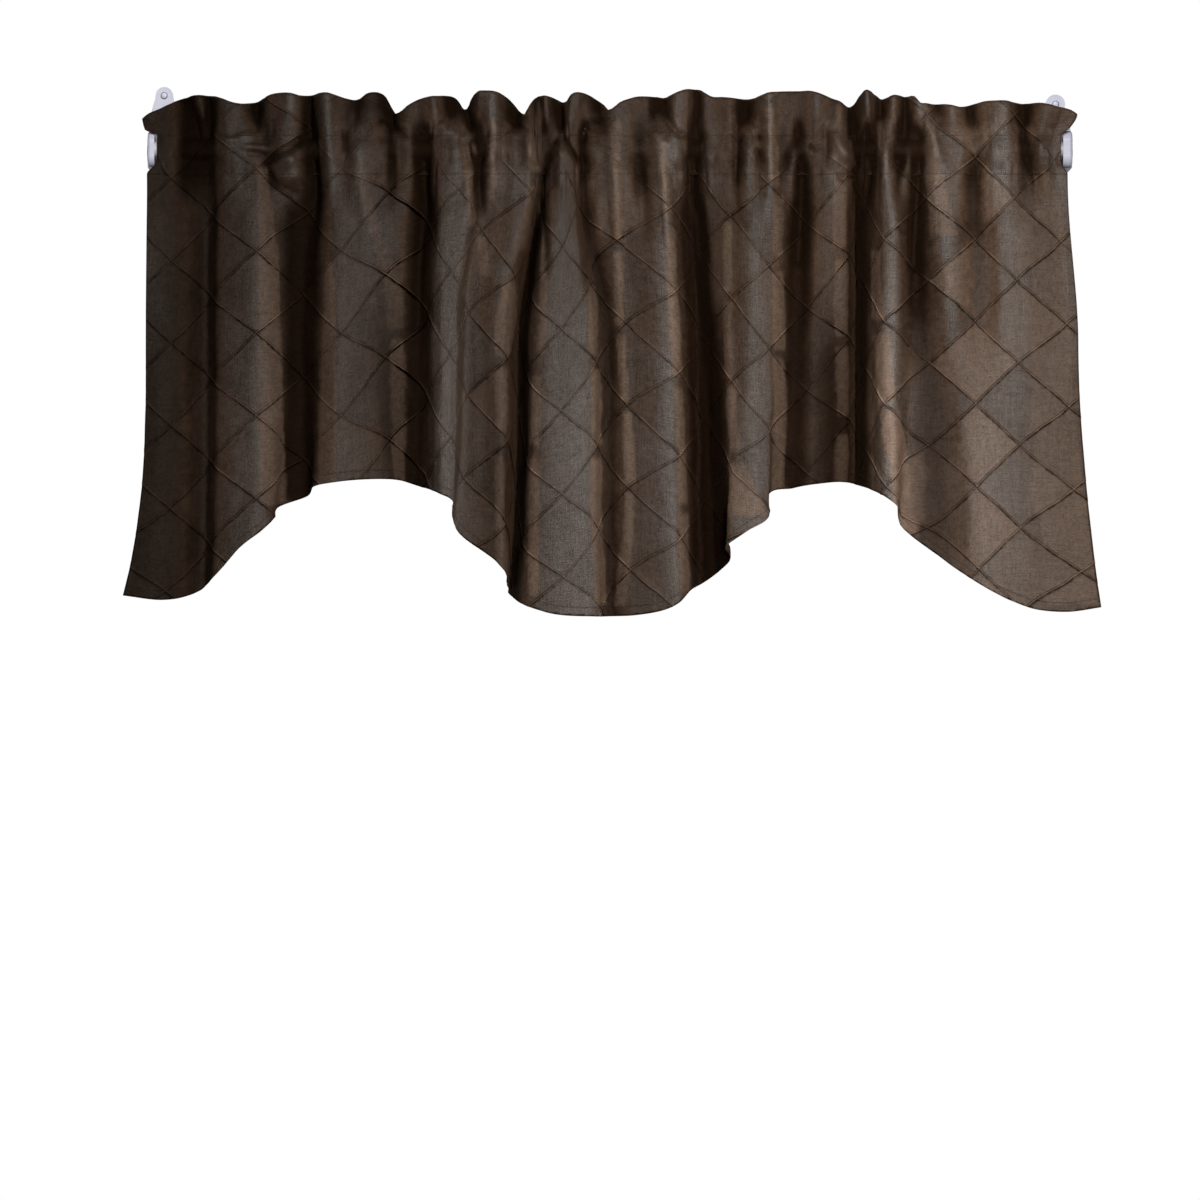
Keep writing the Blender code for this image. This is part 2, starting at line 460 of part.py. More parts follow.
def build_cloth():
    front, back = surface_grids()
    n_front, n_back = facing(front), facing(back)
    n_cols, n_rows = front.shape[:2]
    first_pocket, last_pocket = 3, 2 + len(POCKET)
    half = np.full(n_rows, CLOTH_T / 2)
    half[:3] = HEADER_T / 2
    half[2] = 1.3
    half[last_pocket + 1] = 0.95
    skin_f = front + n_front * half[None, :, None]
    skin_b = back - n_back * half[None, :, None]
    in_f = (front - n_front * CLOTH_T / 2)[:, first_pocket:last_pocket + 1]
    in_b = (back + n_back * CLOTH_T / 2)[:, first_pocket:last_pocket + 1]
    apex_top = front[:, 2] - np.array([0.0, 0.0, 1.7])
    apex_low = front[:, last_pocket + 1] + np.array([0.0, 0.0, 1.7])

    bm = bmesh.new()

    def put(points):
        return [[bm.verts.new([c * MM for c in p]) for p in column] for column in points]

    vf, vb = put(skin_f), put(skin_b)
    ring = []                      # the tunnel's loop of points per column
    for c in range(n_cols):
        loop = ([apex_top[c]] + list(in_f[c]) + [apex_low[c]] + list(in_b[c][::-1]))
        ring.append([bm.verts.new([k * MM for k in p]) for p in loop])
    n_ring = len(ring[0])

    for c in range(n_cols - 1):
        for r in range(n_rows - 1):
            bm.faces.new((vf[c][r], vf[c][r + 1], vf[c + 1][r + 1], vf[c + 1][r]))
            bm.faces.new((vb[c][r], vb[c + 1][r], vb[c + 1][r + 1], vb[c][r + 1]))
        bm.faces.new((vf[c][0], vf[c + 1][0], vb[c + 1][0], vb[c][0]))
        bm.faces.new((vf[c][-1], vb[c][-1], vb[c + 1][-1], vf[c + 1][-1]))
        for k in range(n_ring):
            q = (k + 1) % n_ring
            bm.faces.new((ring[c][k], ring[c + 1][k], ring[c + 1][q], ring[c][q]))

    for c in (0, n_cols - 1):
        f, b, o = vf[c], vb[c], ring[c]
        caps = [(f[r], b[r], b[r + 1], f[r + 1]) for r in range(2)]
        caps.append((f[2], b[2], o[0]))
        half_ring = len(POCKET) + 1
        for k in range(half_ring):
            caps.append((f[2 + k], o[k], o[k + 1], f[3 + k]))
            back_k = (n_ring - k) % n_ring
            back_q = n_ring - k - 1
            caps.append((b[2 + k], b[3 + k], o[back_q], o[back_k]))
        low = last_pocket + 1
        caps.append((f[low], o[half_ring], b[low]))
        caps += [(f[r], b[r], b[r + 1], f[r + 1]) for r in range(low, n_rows - 1)]
        for cap in caps:
            bm.faces.new(cap if c == 0 else cap[::-1])

    bmesh.ops.triangulate(bm, faces=bm.faces[:], quad_method="SHORT_EDGE", ngon_method="BEAUTY")
    bmesh.ops.recalc_face_normals(bm, faces=bm.faces[:])
    return add_object("valance_cloth", bm, CLOTH, sharp_deg=60)


# -------------------------------------------------------------- rod, brackets
def cylinder(name, radius, x_from, x_to, y, z, sides, material=None, axis="X"):
    bm = bmesh.new()
    rings = []
    for at in (x_from, x_to):
        ring = []
        for i in range(sides):
            a = 2.0 * math.pi * (i + 0.5) / sides
            u, v = radius * math.cos(a), radius * math.sin(a)
            p = (at, y + u, z + v) if axis == "X" else (y + u, at, z + v)
            ring.append(bm.verts.new([k * MM for k in p]))
        rings.append(ring)
    for i in range(sides):
        j = (i + 1) % sides
        bm.faces.new((rings[0][i], rings[0][j], rings[1][j], rings[1][i]))
    bm.faces.new(rings[0])
    bm.faces.new(rings[1][::-1])
    bmesh.ops.recalc_face_normals(bm, faces=bm.faces[:])
    return add_object(name, bm, material, sharp_deg=40)


def block(name, lo, hi):
    bm = bmesh.new()
    bmesh.ops.create_cube(bm, size=1.0)
    for v in bm.verts:
        v.co = [mix(lo[i], hi[i], v.co[i] + 0.5) * MM for i in range(3)]
    bmesh.ops.recalc_face_normals(bm, faces=bm.faces[:])
    return add_object(name, bm, None)


def plate_half(which, tab_z, tab_r):
    """Right and left sides of one half of the plate, from the axis outwards."""
    right = [(row[which], row[0] * tab_z) for row in PLATE if row[0] > 0.0 or which == 1]
    steps = 9
    for i in range(steps + 1):
        a = math.pi / 2 * i / steps
        right.append((tab_r * math.cos(a), tab_z + math.copysign(tab_r, tab_z) * math.sin(a)))
    return right, [(-w, z) for w, z in reversed(right[:-1])]


def plate_outline(tab_z, tab_r):
    up_right, up_left = plate_half(1, tab_z, tab_r)
    low_right, low_left = plate_half(2, LOW_TAB_Z, LOW_TAB_R)
    return up_right + up_left + low_left[::-1] + low_right[::-1]


def oval_cup(name, side, half_high, wide):
    """The upright oval boss at the rod's end, with a domed outer face."""
    straight = half_high - CUP_HALF_DEEP
    outline = []
    steps = 14
    for middle, start in ((straight, 0.0), (-straight, math.pi)):
        for i in range(steps + 1):
            a = start + math.pi * i / steps
            outline.append((CUP_HALF_DEEP * math.cos(a), middle + CUP_HALF_DEEP * math.sin(a)))
    bm = bmesh.new()
    rings = []
    for before, share in ((wide, 1.0),) + CUP_DOME:
        x = side * (CUP_OUT - before)
        less = (1.0 - share) * CUP_HALF_DEEP
        k = 1.0 - less / CUP_HALF_DEEP
        rings.append([bm.verts.new((x * MM, (ROD_Y + y * k) * MM, z * (1.0 - less / half_high) * MM))
                      for y, z in outline])
    count = len(outline)
    for a, b in zip(rings[:-1], rings[1:]):
        for i in range(count):
            j = (i + 1) % count
            bm.faces.new((a[i], a[j], b[j], b[i]))
    bm.faces.new(rings[0])
    bm.faces.new(rings[-1][::-1])
    bmesh.ops.recalc_face_normals(bm, faces=bm.faces[:])
    return add_object(name, bm, None)


def build_bracket(name, side, tab_z, tab_r, half_high, wide):
    """side is -1 for the left bracket, +1 for the right one."""
    outline = plate_outline(tab_z, tab_r)
    bm = bmesh.new()
    rings = []
    for y in (-PLATE_T, 0.0):
        rings.append([bm.verts.new(((side * BRACKET_X + w) * MM, y * MM, z * MM)) for w, z in outline])
    count = len(outline)
    bm.faces.new(rings[0])
    bm.faces.new(rings[1][::-1])
    for i in range(count):
        j = (i + 1) % count
        bm.faces.new((rings[0][i], rings[1][i], rings[1][j], rings[0][j]))
    bmesh.ops.recalc_face_normals(bm, faces=bm.faces[:])
    plate = add_object(name, bm, PLASTIC, sharp_deg=40)

    x_out, x_in = side * ARM_OUT, side * (CUP_OUT - wide + 0.5)
    lo_x, hi_x = min(x_out, x_in), max(x_out, x_in)
    floor = side * (CUP_OUT - CUP_FLOOR)
    past = side * (CUP_OUT - wide - 3.0)
    arm = block(name + "_arm", (lo_x, ROD_Y + 4.0, -ARM_HALF_HIGH), (hi_x, -PLATE_T / 2, ARM_HALF_HIGH))
    cup = oval_cup(name + "_cup", side, half_high, wide)
    socket = cylinder(name + "_socket", ROD_R + GAP, min(past, floor), max(past, floor), ROD_Y, 0.0, ROD_SIDES)
    holes = [cylinder(name + "_hole_%d" % i, HOLE_R, -PLATE_T - 2.0, 2.0,
                      side * BRACKET_X, z, 20, axis="Y")
             for i, z in enumerate((tab_z, LOW_TAB_Z))]
    for tool, kind in [(arm, "UNION"), (cup, "UNION"), (socket, "DIFFERENCE")] + \
                      [(hole, "DIFFERENCE") for hole in holes]:
        tool.hide_render = True
        tool.display_type = "WIRE"
        modifier = plate.modifiers.new(tool.name, "BOOLEAN")
        modifier.operation = kind
        modifier.solver = "EXACT"
        modifier.object = tool
    return plate


def build_screw(name, x, z):
    """A round head in front of the plate and a shank that stays in its hole."""
    profile = (
        # radius, y
        (0.0, -GAP),
        (SCREW_R, -GAP),
        (SCREW_R, -PLATE_T - GAP),
        (HEAD_R, -PLATE_T - GAP),
        (HEAD_R, -PLATE_T - GAP - 0.5 * HEAD_HIGH),
        (HEAD_R * 0.72, -PLATE_T - GAP - 0.9 * HEAD_HIGH),
        (0.0, -PLATE_T - GAP - HEAD_HIGH),
    )
    sides = 18
    bm = bmesh.new()
    rings = []
    for radius, y in profile:
        if radius == 0.0:
            rings.append([bm.verts.new((x * MM, y * MM, z * MM))])
            continue
        rings.append([bm.verts.new(((x + radius * math.cos(2 * math.pi * i / sides)) * MM, y * MM,
                                    (z + radius * math.sin(2 * math.pi * i / sides)) * MM))
                      for i in range(sides)])
    for a, b in zip(rings[:-1], rings[1:]):
        for i in range(sides):
            j = (i + 1) % sides
            if len(a) == 1:
                bm.faces.new((a[0], b[i], b[j]))
            elif len(b) == 1:
                bm.faces.new((a[i], b[0], a[j]))
            else:
                bm.faces.new((a[i], b[i], b[j], a[j]))
    bmesh.ops.recalc_face_normals(bm, faces=bm.faces[:])
    return add_object(name, bm, SCREW_STEEL, sharp_deg=35)


build_cloth()
rod_end = CUP_OUT - CUP_FLOOR - GAP
cylinder("rod", ROD_R, -rod_end, rod_end, ROD_Y, 0.0, ROD_SIDES, ROD_PAINT)
for end, side, tab_z, tab_r, half_high, wide in BRACKETS:
    build_bracket("bracket_" + end, side, tab_z, tab_r, half_high, wide)
    build_screw("screw_%s_upper" % end, side * BRACKET_X, tab_z)
    build_screw("screw_%s_lower" % end, side * BRACKET_X, LOW_TAB_Z)
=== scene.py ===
"""The look of the window valance: pintucked shot taffeta shirred on a rod.

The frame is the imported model. X runs along the rod to the viewer's right, Y
points into the wall, Z is up, the origin is on the wall plane level with the
rod at mid-span. The tables below are in millimetres: "stations" run along the
rod from a datum STATION_MID left of mid-span, and "levels" run downwards from
a datum ROD_LEVEL above the rod's axis.
"""

import math

import bmesh
import bpy
import numpy as np
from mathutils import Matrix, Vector


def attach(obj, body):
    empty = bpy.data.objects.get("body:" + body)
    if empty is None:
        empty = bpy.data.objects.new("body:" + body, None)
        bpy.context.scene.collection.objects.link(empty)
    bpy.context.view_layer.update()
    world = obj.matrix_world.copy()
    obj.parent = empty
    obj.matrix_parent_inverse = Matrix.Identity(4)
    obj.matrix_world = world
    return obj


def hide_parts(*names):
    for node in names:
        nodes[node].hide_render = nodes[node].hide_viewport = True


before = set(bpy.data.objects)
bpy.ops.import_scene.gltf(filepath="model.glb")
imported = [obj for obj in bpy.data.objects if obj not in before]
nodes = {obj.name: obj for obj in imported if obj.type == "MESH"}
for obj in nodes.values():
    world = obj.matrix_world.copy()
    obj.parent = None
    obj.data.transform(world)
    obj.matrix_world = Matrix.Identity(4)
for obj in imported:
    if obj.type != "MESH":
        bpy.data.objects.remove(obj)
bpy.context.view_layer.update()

MM = 0.001

# ------------------------------------------------ sizes shared with the part
STATION_MID = 610.0
ROD_LEVEL = 149.0
ROD_Y = -70.0
ROD_R = 8.0
SEAM_TOP_Z = 12.9
SEAM_LOW_Z = -25.5
SKIRT_Y = -7.5
SEAM_Y = -9.5
FOLD_AT_SEAM = 0.62
FOLD_FULL_AT = 0.16
HEM_FLARE = 1.08
MID_AT = 0.40
LEAN_LEFT = 3.0
LEAN_RIGHT = 1.6
END_REACH = 42.0
POCKET_FOLD_BACK = 6.0
POCKET_R = 9.6           # the cloth over the rod
HEADER_LEAN = 10.0       # the header's foot stands this far in front of its top
HEADER_DEEP = 1.35       # and how its folds deepen
CREASE_DEEP = 1.40
POCKET_OUT = 11.0        # the pocket's front, in front of the rod's axis
SEAM_BEHIND = -14.0      # no fold is deeper than this at a seam

# The cloth's main folds from left to right, a row for each crest, trough or
# the turn of a flank. x_* are stations at the lower pocket seam, at mid
# drop and at the hem; hem is the hem's level.
FOLDS = (
    # fold             x_head   x_mid   x_hem    hem
    ("left edge",          147.5,   146.4,   123.3,  595.5),
    ("left panel",         168.0,   168.0,   160.0,  600.0),
    ("trough 1",           207.0,   206.0,   203.0,  588.0),
    ("crest 2 rise",       228.0,   229.0,   224.0,  566.5),
    ("crest 2 left",       239.0,   240.0,   237.0,  551.0),
    ("crest 2",            262.0,   263.0,   262.0,  530.5),
    ("crest 2 turn",       272.0,   276.0,   273.5,  518.5),
    ("trough 2 flank",     290.0,   288.0,   276.0,  508.0),
    ("trough 2",           313.0,   305.0,   308.0,  495.5),
    ("crest 3 flank",      322.0,   320.0,   313.0,  487.0),
    ("crest 3",            340.0,   340.0,   338.0,  482.0),
    ("crest 3 right",      388.0,   384.0,   392.0,  479.5),
    ("trough 3",           424.0,   418.0,   415.0,  485.0),
    ("crest 4",            446.0,   441.0,   440.0,  494.0),
    ("crest 4 turn",       464.0,   453.0,   453.5,  503.0),
    ("trough 4",           478.0,   461.0,   452.5,  519.0),
    ("crest 5",            522.0,   499.0,   500.0,  565.5),
    ("trough 5 flank",     533.0,   509.0,   505.5,  577.0),
    ("trough 5",           539.0,   518.0,   508.5,  592.0),
    ("trough 5 right",     545.0,   528.0,   518.0,  601.5),
    ("crest 6",            558.0,   547.0,   545.0,  612.0),
    ("crest 6 right",      572.0,   586.0,   594.0,  616.5),
    ("trough 6",           583.0,   609.0,   612.0,  616.3),
    ("crest 7",            612.0,   627.0,   633.0,  615.5),
    ("crest 7 right",      664.0,   674.0,   680.0,  602.0),
    ("trough 7 flank",     682.0,   690.0,   691.0,  589.5),
    ("trough 7",           696.0,   704.0,   709.0,  579.5),
    ("trough 7 right",     712.0,   718.0,   729.5,  562.5),
    ("crest 8 flank",      740.0,   740.0,   729.0,  543.5),
    ("crest 8",            750.0,   748.0,   746.0,  532.0),
    ("crest 8 turn",       763.0,   766.0,   769.0,  514.0),
    ("trough 8 flank",     775.0,   774.0,   767.5,  497.5),
    ("trough 8",           801.0,   796.0,   794.0,  488.0),
    ("crest 9",            820.0,   820.0,   818.0,  483.8),
    ("crest 9 right",      842.0,   842.0,   841.0,  482.0),
    ("trough 9",           856.0,   857.0,   857.0,  484.0),
    ("crest 10",           878.0,   878.0,   880.0,  494.0),
    ("crest 10 turn",      896.0,   897.0,   896.5,  507.5),
    ("trough 10",          914.0,   913.0,   899.0,  524.0),
    ("crest 11",           934.0,   940.0,   943.0,  559.0),
    ("trough 11",          974.0,   974.0,   978.0,  583.5),
    ("crest 12",          1003.0,  1006.0,  1010.0,  600.5),
    ("trough 12",         1024.0,  1030.0,  1036.0,  609.5),
    ("crest 13",          1048.0,  1056.0,  1070.0,  611.8),
    ("right edge",        1067.0,  1078.0,  1101.0,  607.3),
)

# The folds' section: station at mid drop, and how far the cloth stands in
# front of the skirt's middle plane in the upper and in the lower skirt.
PROFILE = (
    # x_mid   upper  lower
    (146.4, 9.0, 5.0), (160.0, 8.0, 8.0), (176.0, 6.0, 7.0), (187.0, 0.0, 1.0),
    (196.0, -10.0, -9.0), (206.0, -17.0, -15.0), (213.0, -11.0, -9.0), (218.0, -2.0, -2.0),
    (228.0, 2.0, 2.0), (240.0, 5.0, 5.0), (256.0, 8.0, 8.0), (268.0, 4.0, 5.0),
    (280.0, -5.0, -3.0), (291.0, -15.0, -13.0), (301.0, -20.0, -19.0), (312.0, -14.0, -12.0),
    (320.0, -4.0, -4.0), (329.0, 3.0, 2.0), (337.0, 6.0, 6.0), (350.0, 7.0, 4.0),
    (366.0, 8.0, 2.0), (378.0, 7.0, -3.0), (392.0, 4.0, -5.0), (404.0, -2.0, -8.0),
    (412.0, -12.0, -12.0), (419.0, -18.0, -13.0), (426.0, -10.0, -7.0), (431.0, 2.0, 3.0),
    (437.0, 12.0, 13.0), (443.0, 15.0, 17.0), (449.0, 15.0, 17.0), (453.0, 14.0, 15.0),
    (457.0, 12.0, 13.0), (460.0, 8.0, 8.0), (463.0, 2.0, 1.0), (466.0, -2.0, -2.0),
    (470.0, -3.0, -2.0), (476.0, -1.0, 0.0), (484.0, 2.0, 2.0), (494.0, 6.0, 6.0),
    (502.0, 7.0, 7.0), (508.0, 1.0, 0.0), (512.0, -14.0, -14.0), (518.0, -38.0, -40.0),
    (523.0, -27.0, -27.0), (527.0, -13.0, -12.0), (531.0, -2.0, -1.0), (536.0, 5.0, 6.0),
    (541.0, 8.0, 9.0), (550.0, 11.0, 12.0), (568.0, 13.0, 14.0), (586.0, 11.0, 12.0),
    (594.0, 6.0, 7.0), (600.0, -3.0, -2.0), (609.0, -10.0, -9.0), (617.0, -4.0, -4.0),
    (624.0, 0.0, 0.0), (632.0, -1.0, 1.0), (640.0, 1.0, 3.0), (650.0, 5.0, 6.0),
    (660.0, 9.0, 9.0), (672.0, 10.0, 10.0), (679.0, 6.0, 6.0), (686.0, -7.0, -2.0),
    (695.0, -28.0, -16.0), (703.0, -27.0, -34.0), (708.0, -16.0, -36.0), (714.0, -7.0, -22.0),
    (722.0, -4.0, -8.0), (729.0, -1.0, 2.0), (736.0, 2.0, 5.0), (741.0, 6.0, 8.0),
    (750.0, 11.0, 12.0), (762.0, 10.0, 10.0), (770.0, 6.0, 7.0), (778.0, 1.0, 1.0),
    (785.0, -7.0, -6.0), (793.0, -15.0, -13.0), (800.0, -16.0, -12.0), (806.0, -12.0, -9.0),
    (813.0, -3.0, -6.0), (822.0, 2.0, -8.0), (832.0, 2.0, -10.0), (840.0, -1.0, -8.0),
    (847.0, -5.0, -9.0), (852.0, -20.0, -20.0), (857.0, -36.0, -38.0), (862.0, -26.0, -24.0),
    (867.0, -14.0, -8.0), (872.0, -9.0, -1.0), (878.0, 2.0, 7.0), (884.0, 9.0, 13.0),
    (892.0, 11.0, 15.0), (899.0, 8.0, 11.0), (905.0, -3.0, 4.0), (912.0, -15.0, -2.0),
    (921.0, -15.0, -5.0), (929.0, -5.0, -6.0), (938.0, 5.0, -5.0), (948.0, 11.0, -2.0),
    (957.0, 9.0, 2.0), (966.0, 2.0, 6.0), (976.0, -4.0, 8.0), (986.0, -2.0, 8.0),
    (1000.0, 6.0, 7.0), (1020.0, 7.0, 6.0), (1040.0, 4.0, 4.0), (1060.0, 4.0, 2.0),
    (1078.0, 6.0, -1.0),
)

# The header ruffle's own small folds: station, level of its top edge and
# how far the top edge stands proud.
RUFFLE = (
    # at       top    proud
    (142.5, 118.0, 4.0), (148.0, 114.0, 5.0), (158.0, 109.5, 4.0), (168.0, 104.5, 2.0),
    (176.0, 100.5, -1.0), (184.0, 97.2, -6.0), (192.0, 94.8, -2.0), (199.0, 94.6, -3.0),
    (206.0, 94.6, -8.0), (214.0, 95.4, -1.0), (222.0, 98.2, 4.0), (232.0, 102.2, 6.0),
    (240.0, 103.6, 4.0), (248.0, 102.8, -3.0), (256.0, 101.0, -8.0), (263.0, 97.5, -4.0),
    (270.0, 94.4, 1.0), (280.0, 92.8, 4.0), (292.0, 93.4, 7.0), (299.0, 95.2, 2.0),
    (306.0, 94.6, -7.0), (313.0, 93.4, -6.0), (320.0, 92.9, 4.0), (327.0, 92.8, 6.0),
    (336.0, 95.0, 2.0), (346.0, 97.8, -3.0), (356.0, 99.0, -5.0), (362.0, 96.0, -4.0),
    (366.0, 93.0, -3.0), (373.0, 91.4, -3.0), (380.0, 92.0, -6.0), (386.0, 96.0, -8.0),
    (391.0, 106.0, -10.0), (395.0, 112.2, -9.0), (400.0, 111.2, -3.0), (408.0, 104.9, 2.0),
    (418.0, 99.4, 1.0), (428.0, 96.8, 4.0), (438.0, 95.8, 3.0), (446.0, 94.8, -5.0),
    (452.0, 95.6, -6.0), (458.0, 100.0, -7.0), (463.5, 108.2, -5.0), (468.0, 105.5, -8.0),
    (473.0, 95.0, -4.0), (478.0, 91.2, 4.0), (485.0, 90.8, 7.0), (492.0, 91.2, 6.0),
    (499.0, 92.6, 1.0), (507.0, 97.3, -6.0), (514.0, 103.9, -8.0), (521.0, 111.8, -4.0),
    (524.5, 114.2, -1.0), (529.0, 105.2, 0.0), (534.0, 98.3, -4.0), (539.0, 95.7, 1.0),
    (545.0, 95.6, 6.0), (551.0, 96.4, -4.0), (557.0, 98.4, -10.0), (562.0, 100.2, -10.0),
    (567.0, 99.5, -2.0), (571.0, 94.8, 4.0), (576.0, 92.7, 6.0), (583.0, 92.8, 2.0),
    (590.0, 94.9, -4.0), (598.0, 99.7, -8.0), (604.0, 104.3, -3.0), (608.5, 110.0, 4.0),
    (613.0, 108.0, 6.0), (620.0, 102.2, 5.0), (628.0, 98.9, 3.0), (637.0, 96.2, 0.0),
    (648.0, 95.8, -2.0), (657.0, 95.8, -7.0), (664.0, 96.6, -9.0), (670.0, 95.2, 1.0),
    (678.0, 91.8, 6.0), (686.0, 89.2, 4.0), (694.0, 88.7, -2.0), (700.0, 89.2, -1.0),
    (705.0, 93.0, 5.0), (711.0, 96.5, 5.0), (722.0, 96.8, 1.0), (732.0, 97.5, 0.0),
    (739.0, 97.8, -6.0), (746.0, 97.8, -10.0), (753.0, 97.6, -5.0), (760.0, 95.8, 4.0),
    (768.0, 93.0, 7.0), (778.0, 91.7, 4.0), (790.0, 91.0, 1.0), (800.0, 90.8, 0.0),
    (810.0, 90.8, 4.0), (817.0, 92.6, 7.0), (825.0, 95.2, 3.0), (833.0, 98.3, -1.0),
    (840.0, 100.9, 1.0), (846.0, 104.4, -3.0), (850.0, 105.8, -7.0), (855.0, 103.0, -7.0),
    (860.0, 95.4, -1.0), (864.0, 90.8, 4.0), (870.0, 90.9, 2.0), (876.0, 94.2, -5.0),
    (882.0, 97.8, -8.0), (887.0, 97.2, 0.0), (893.0, 94.8, 4.0), (900.0, 95.0, -1.0),
    (907.0, 95.6, -4.0), (912.0, 95.4, 2.0), (916.0, 97.4, 6.0), (919.0, 102.0, 7.0),
    (926.0, 103.2, 5.0), (935.0, 103.8, -3.0), (942.0, 103.5, 1.0), (951.0, 105.0, 6.0),
    (960.0, 106.7, 2.0), (968.0, 105.2, -4.0), (976.0, 103.0, -2.0), (985.0, 100.9, 1.0),
    (996.0, 100.6, 5.0), (1006.0, 100.8, 6.0), (1014.0, 101.9, -2.0), (1022.0, 102.6, -7.0),
    (1030.0, 102.6, -4.0), (1040.0, 102.6, 3.0), (1049.0, 104.2, 5.0), (1058.0, 106.3, 4.0),
    (1066.0, 108.4, 4.0), (1072.0, 110.5, 4.0), (1077.0, 114.0, 4.0),
)

# The puckers along the rod pocket: station and how far each stands proud.
PLEATS = (
    # at       proud
    (148.0, 2.0), (160.0, 4.0), (170.0, 4.0), (178.0, -3.0), (186.0, -8.0), (198.0, -11.0),
    (210.0, -8.0), (217.0, -4.0), (226.0, 4.0), (238.0, 6.0), (248.0, 5.0), (258.0, 1.0),
    (268.0, -4.0), (276.0, -1.0), (284.0, 4.0), (291.0, 3.0), (299.0, -2.0), (308.0, -8.0),
    (314.0, -9.0), (321.0, -2.0), (328.0, 5.0), (337.0, 3.0), (345.0, -1.0), (353.0, 5.0),
    (361.0, 7.0), (370.0, 3.0), (378.0, 1.0), (385.0, -2.0), (392.0, -8.0), (400.0, 1.0),
    (408.0, 2.0), (415.0, -6.0), (423.0, -9.0), (431.0, -4.0), (439.0, 2.0), (448.0, 5.0),
    (456.0, 9.0), (464.0, 3.0), (472.0, -3.0), (479.0, -9.0), (484.0, -3.0), (488.0, 8.0),
    (496.0, 5.0), (504.0, 1.0), (513.0, 5.0), (521.0, 7.0), (528.0, 11.0), (534.0, 4.0),
    (541.0, -1.0), (549.0, -4.0), (556.0, 0.0), (563.0, 4.0), (570.0, 5.0), (577.0, 0.0),
    (583.0, -8.0), (588.0, -1.0), (594.0, 3.0), (602.0, 6.0), (612.0, 10.0), (620.0, 10.0),
    (628.0, 5.0), (636.0, -4.0), (643.0, -4.0), (650.0, 2.0), (657.0, 8.0), (666.0, 8.0),
    (675.0, 8.0), (682.0, 3.0), (688.0, -6.0), (694.0, -10.0), (699.0, -3.0), (705.0, 5.0),
    (713.0, 8.0), (721.0, 4.0), (729.0, 1.0), (736.0, -8.0), (741.0, 0.0), (746.0, 7.0),
    (753.0, 7.0), (760.0, -3.0), (765.0, 5.0), (769.0, 7.0), (776.0, -2.0), (785.0, -3.0),
    (792.0, 0.0), (800.0, -7.0), (807.0, -2.0), (816.0, 1.0), (824.0, 3.0), (832.0, 9.0),
    (841.0, 8.0), (849.0, 1.0), (856.0, -9.0), (862.0, -5.0), (868.0, -11.0), (874.0, -8.0),
    (880.0, 2.0), (887.0, 5.0), (892.0, 0.0), (897.0, -9.0), (903.0, -3.0), (907.0, -2.0),
    (914.0, -8.0), (921.0, -6.0), (927.0, 5.0), (934.0, 10.0), (942.0, 5.0), (952.0, 4.0),
    (962.0, 5.0), (970.0, -1.0), (977.0, -4.0), (985.0, 2.0), (994.0, 9.0), (1004.0, 8.0),
    (1014.0, 2.0), (1023.0, -5.0), (1031.0, 1.0), (1040.0, 6.0), (1048.0, 2.0), (1056.0, 8.0),
    (1067.0, 6.0),
)

# Where the cloth's two ends stand at each level above the skirt.
ENDS = (
    # level           left    right
    ("header top",    142.5,  1077.0),
    ("header low",    145.5,  1068.5),
    ("upper seam",    157.5,  1060.5),
    ("pocket",        157.5,  1059.5),
    ("lower seam",    147.5,  1067.0),
)
END_REACH = 42.0         # the ends' flare dies out over this length

# One half of the rod pocket's section, front and back alike.
POCKET = (
    # row      out from axis plane   above axis
    ("upper",        8.9,             8.9),
    ("middle",      11.2,             0.0),
    ("lower",        6.5,           -19.0),
)

# ------------------------------------------------- sizes of the look alone
CELL = 16                # mesh steps per lattice unit
LATTICE_WIDE = 50.0      # cloth between two lattice columns, flat
LATTICE_HIGH = 41.25     # and between two rows of crossings
LATTICE_LEVEL = 197.75   # level of row 0 where the shift is 0
EDGE_LEFT, EDGE_RIGHT = 0.40, 27.24      # lattice columns of the cut edges
ALIGN_OVER = 66.0        # below the seam, mesh rows turn to the lattice's
HEADER_ROWS = 17
POCKET_ROWS = 17
BACK_HEADER_ROWS = 9
BACK_POCKET_ROWS = 10
HEADER_GAP = 2.2         # between the header's two layers
HEM_TURN = (3.0, 6.5, 10.0)     # rows of the turned hem, up from the edge
HEM_BACK = 1.1           # the turn lies this far behind
TUCK_HIGH = 1.35        # how far a stitched tuck stands up
PILLOW = 1.3             # the puff of one diamond between its tucks

# Where the columns of the diamond lattice stand: column, station at mid drop
# and how far the rows of crossings are shifted down there.
LATTICE = (
    (1, 172.0, 22.0), (2, 213.0, 17.0), (3, 257.0, 12.0), (4, 302.0, 13.0),
    (5, 342.0, 12.0), (6, 385.0, -6.0), (7, 430.0, -7.0), (8, 450.0, -8.0),
    (9, 469.0, -9.0), (10, 507.0, -5.0), (11, 518.0, 3.0), (12, 528.0, 12.0),
    (13, 562.0, 8.0), (14, 596.0, 0.0), (15, 627.0, 1.0), (16, 679.0, 10.0),
    (17, 703.0, 14.0), (18, 732.0, 18.0), (19, 769.0, 27.0), (20, 808.0, 27.0),
    (21, 849.0, 15.0), (22, 866.0, 5.0), (23, 884.0, 0.0), (24, 930.0, 0.0),
    (25, 975.0, 0.0), (26, 1018.0, 0.0), (27, 1067.0, 3.0),
)

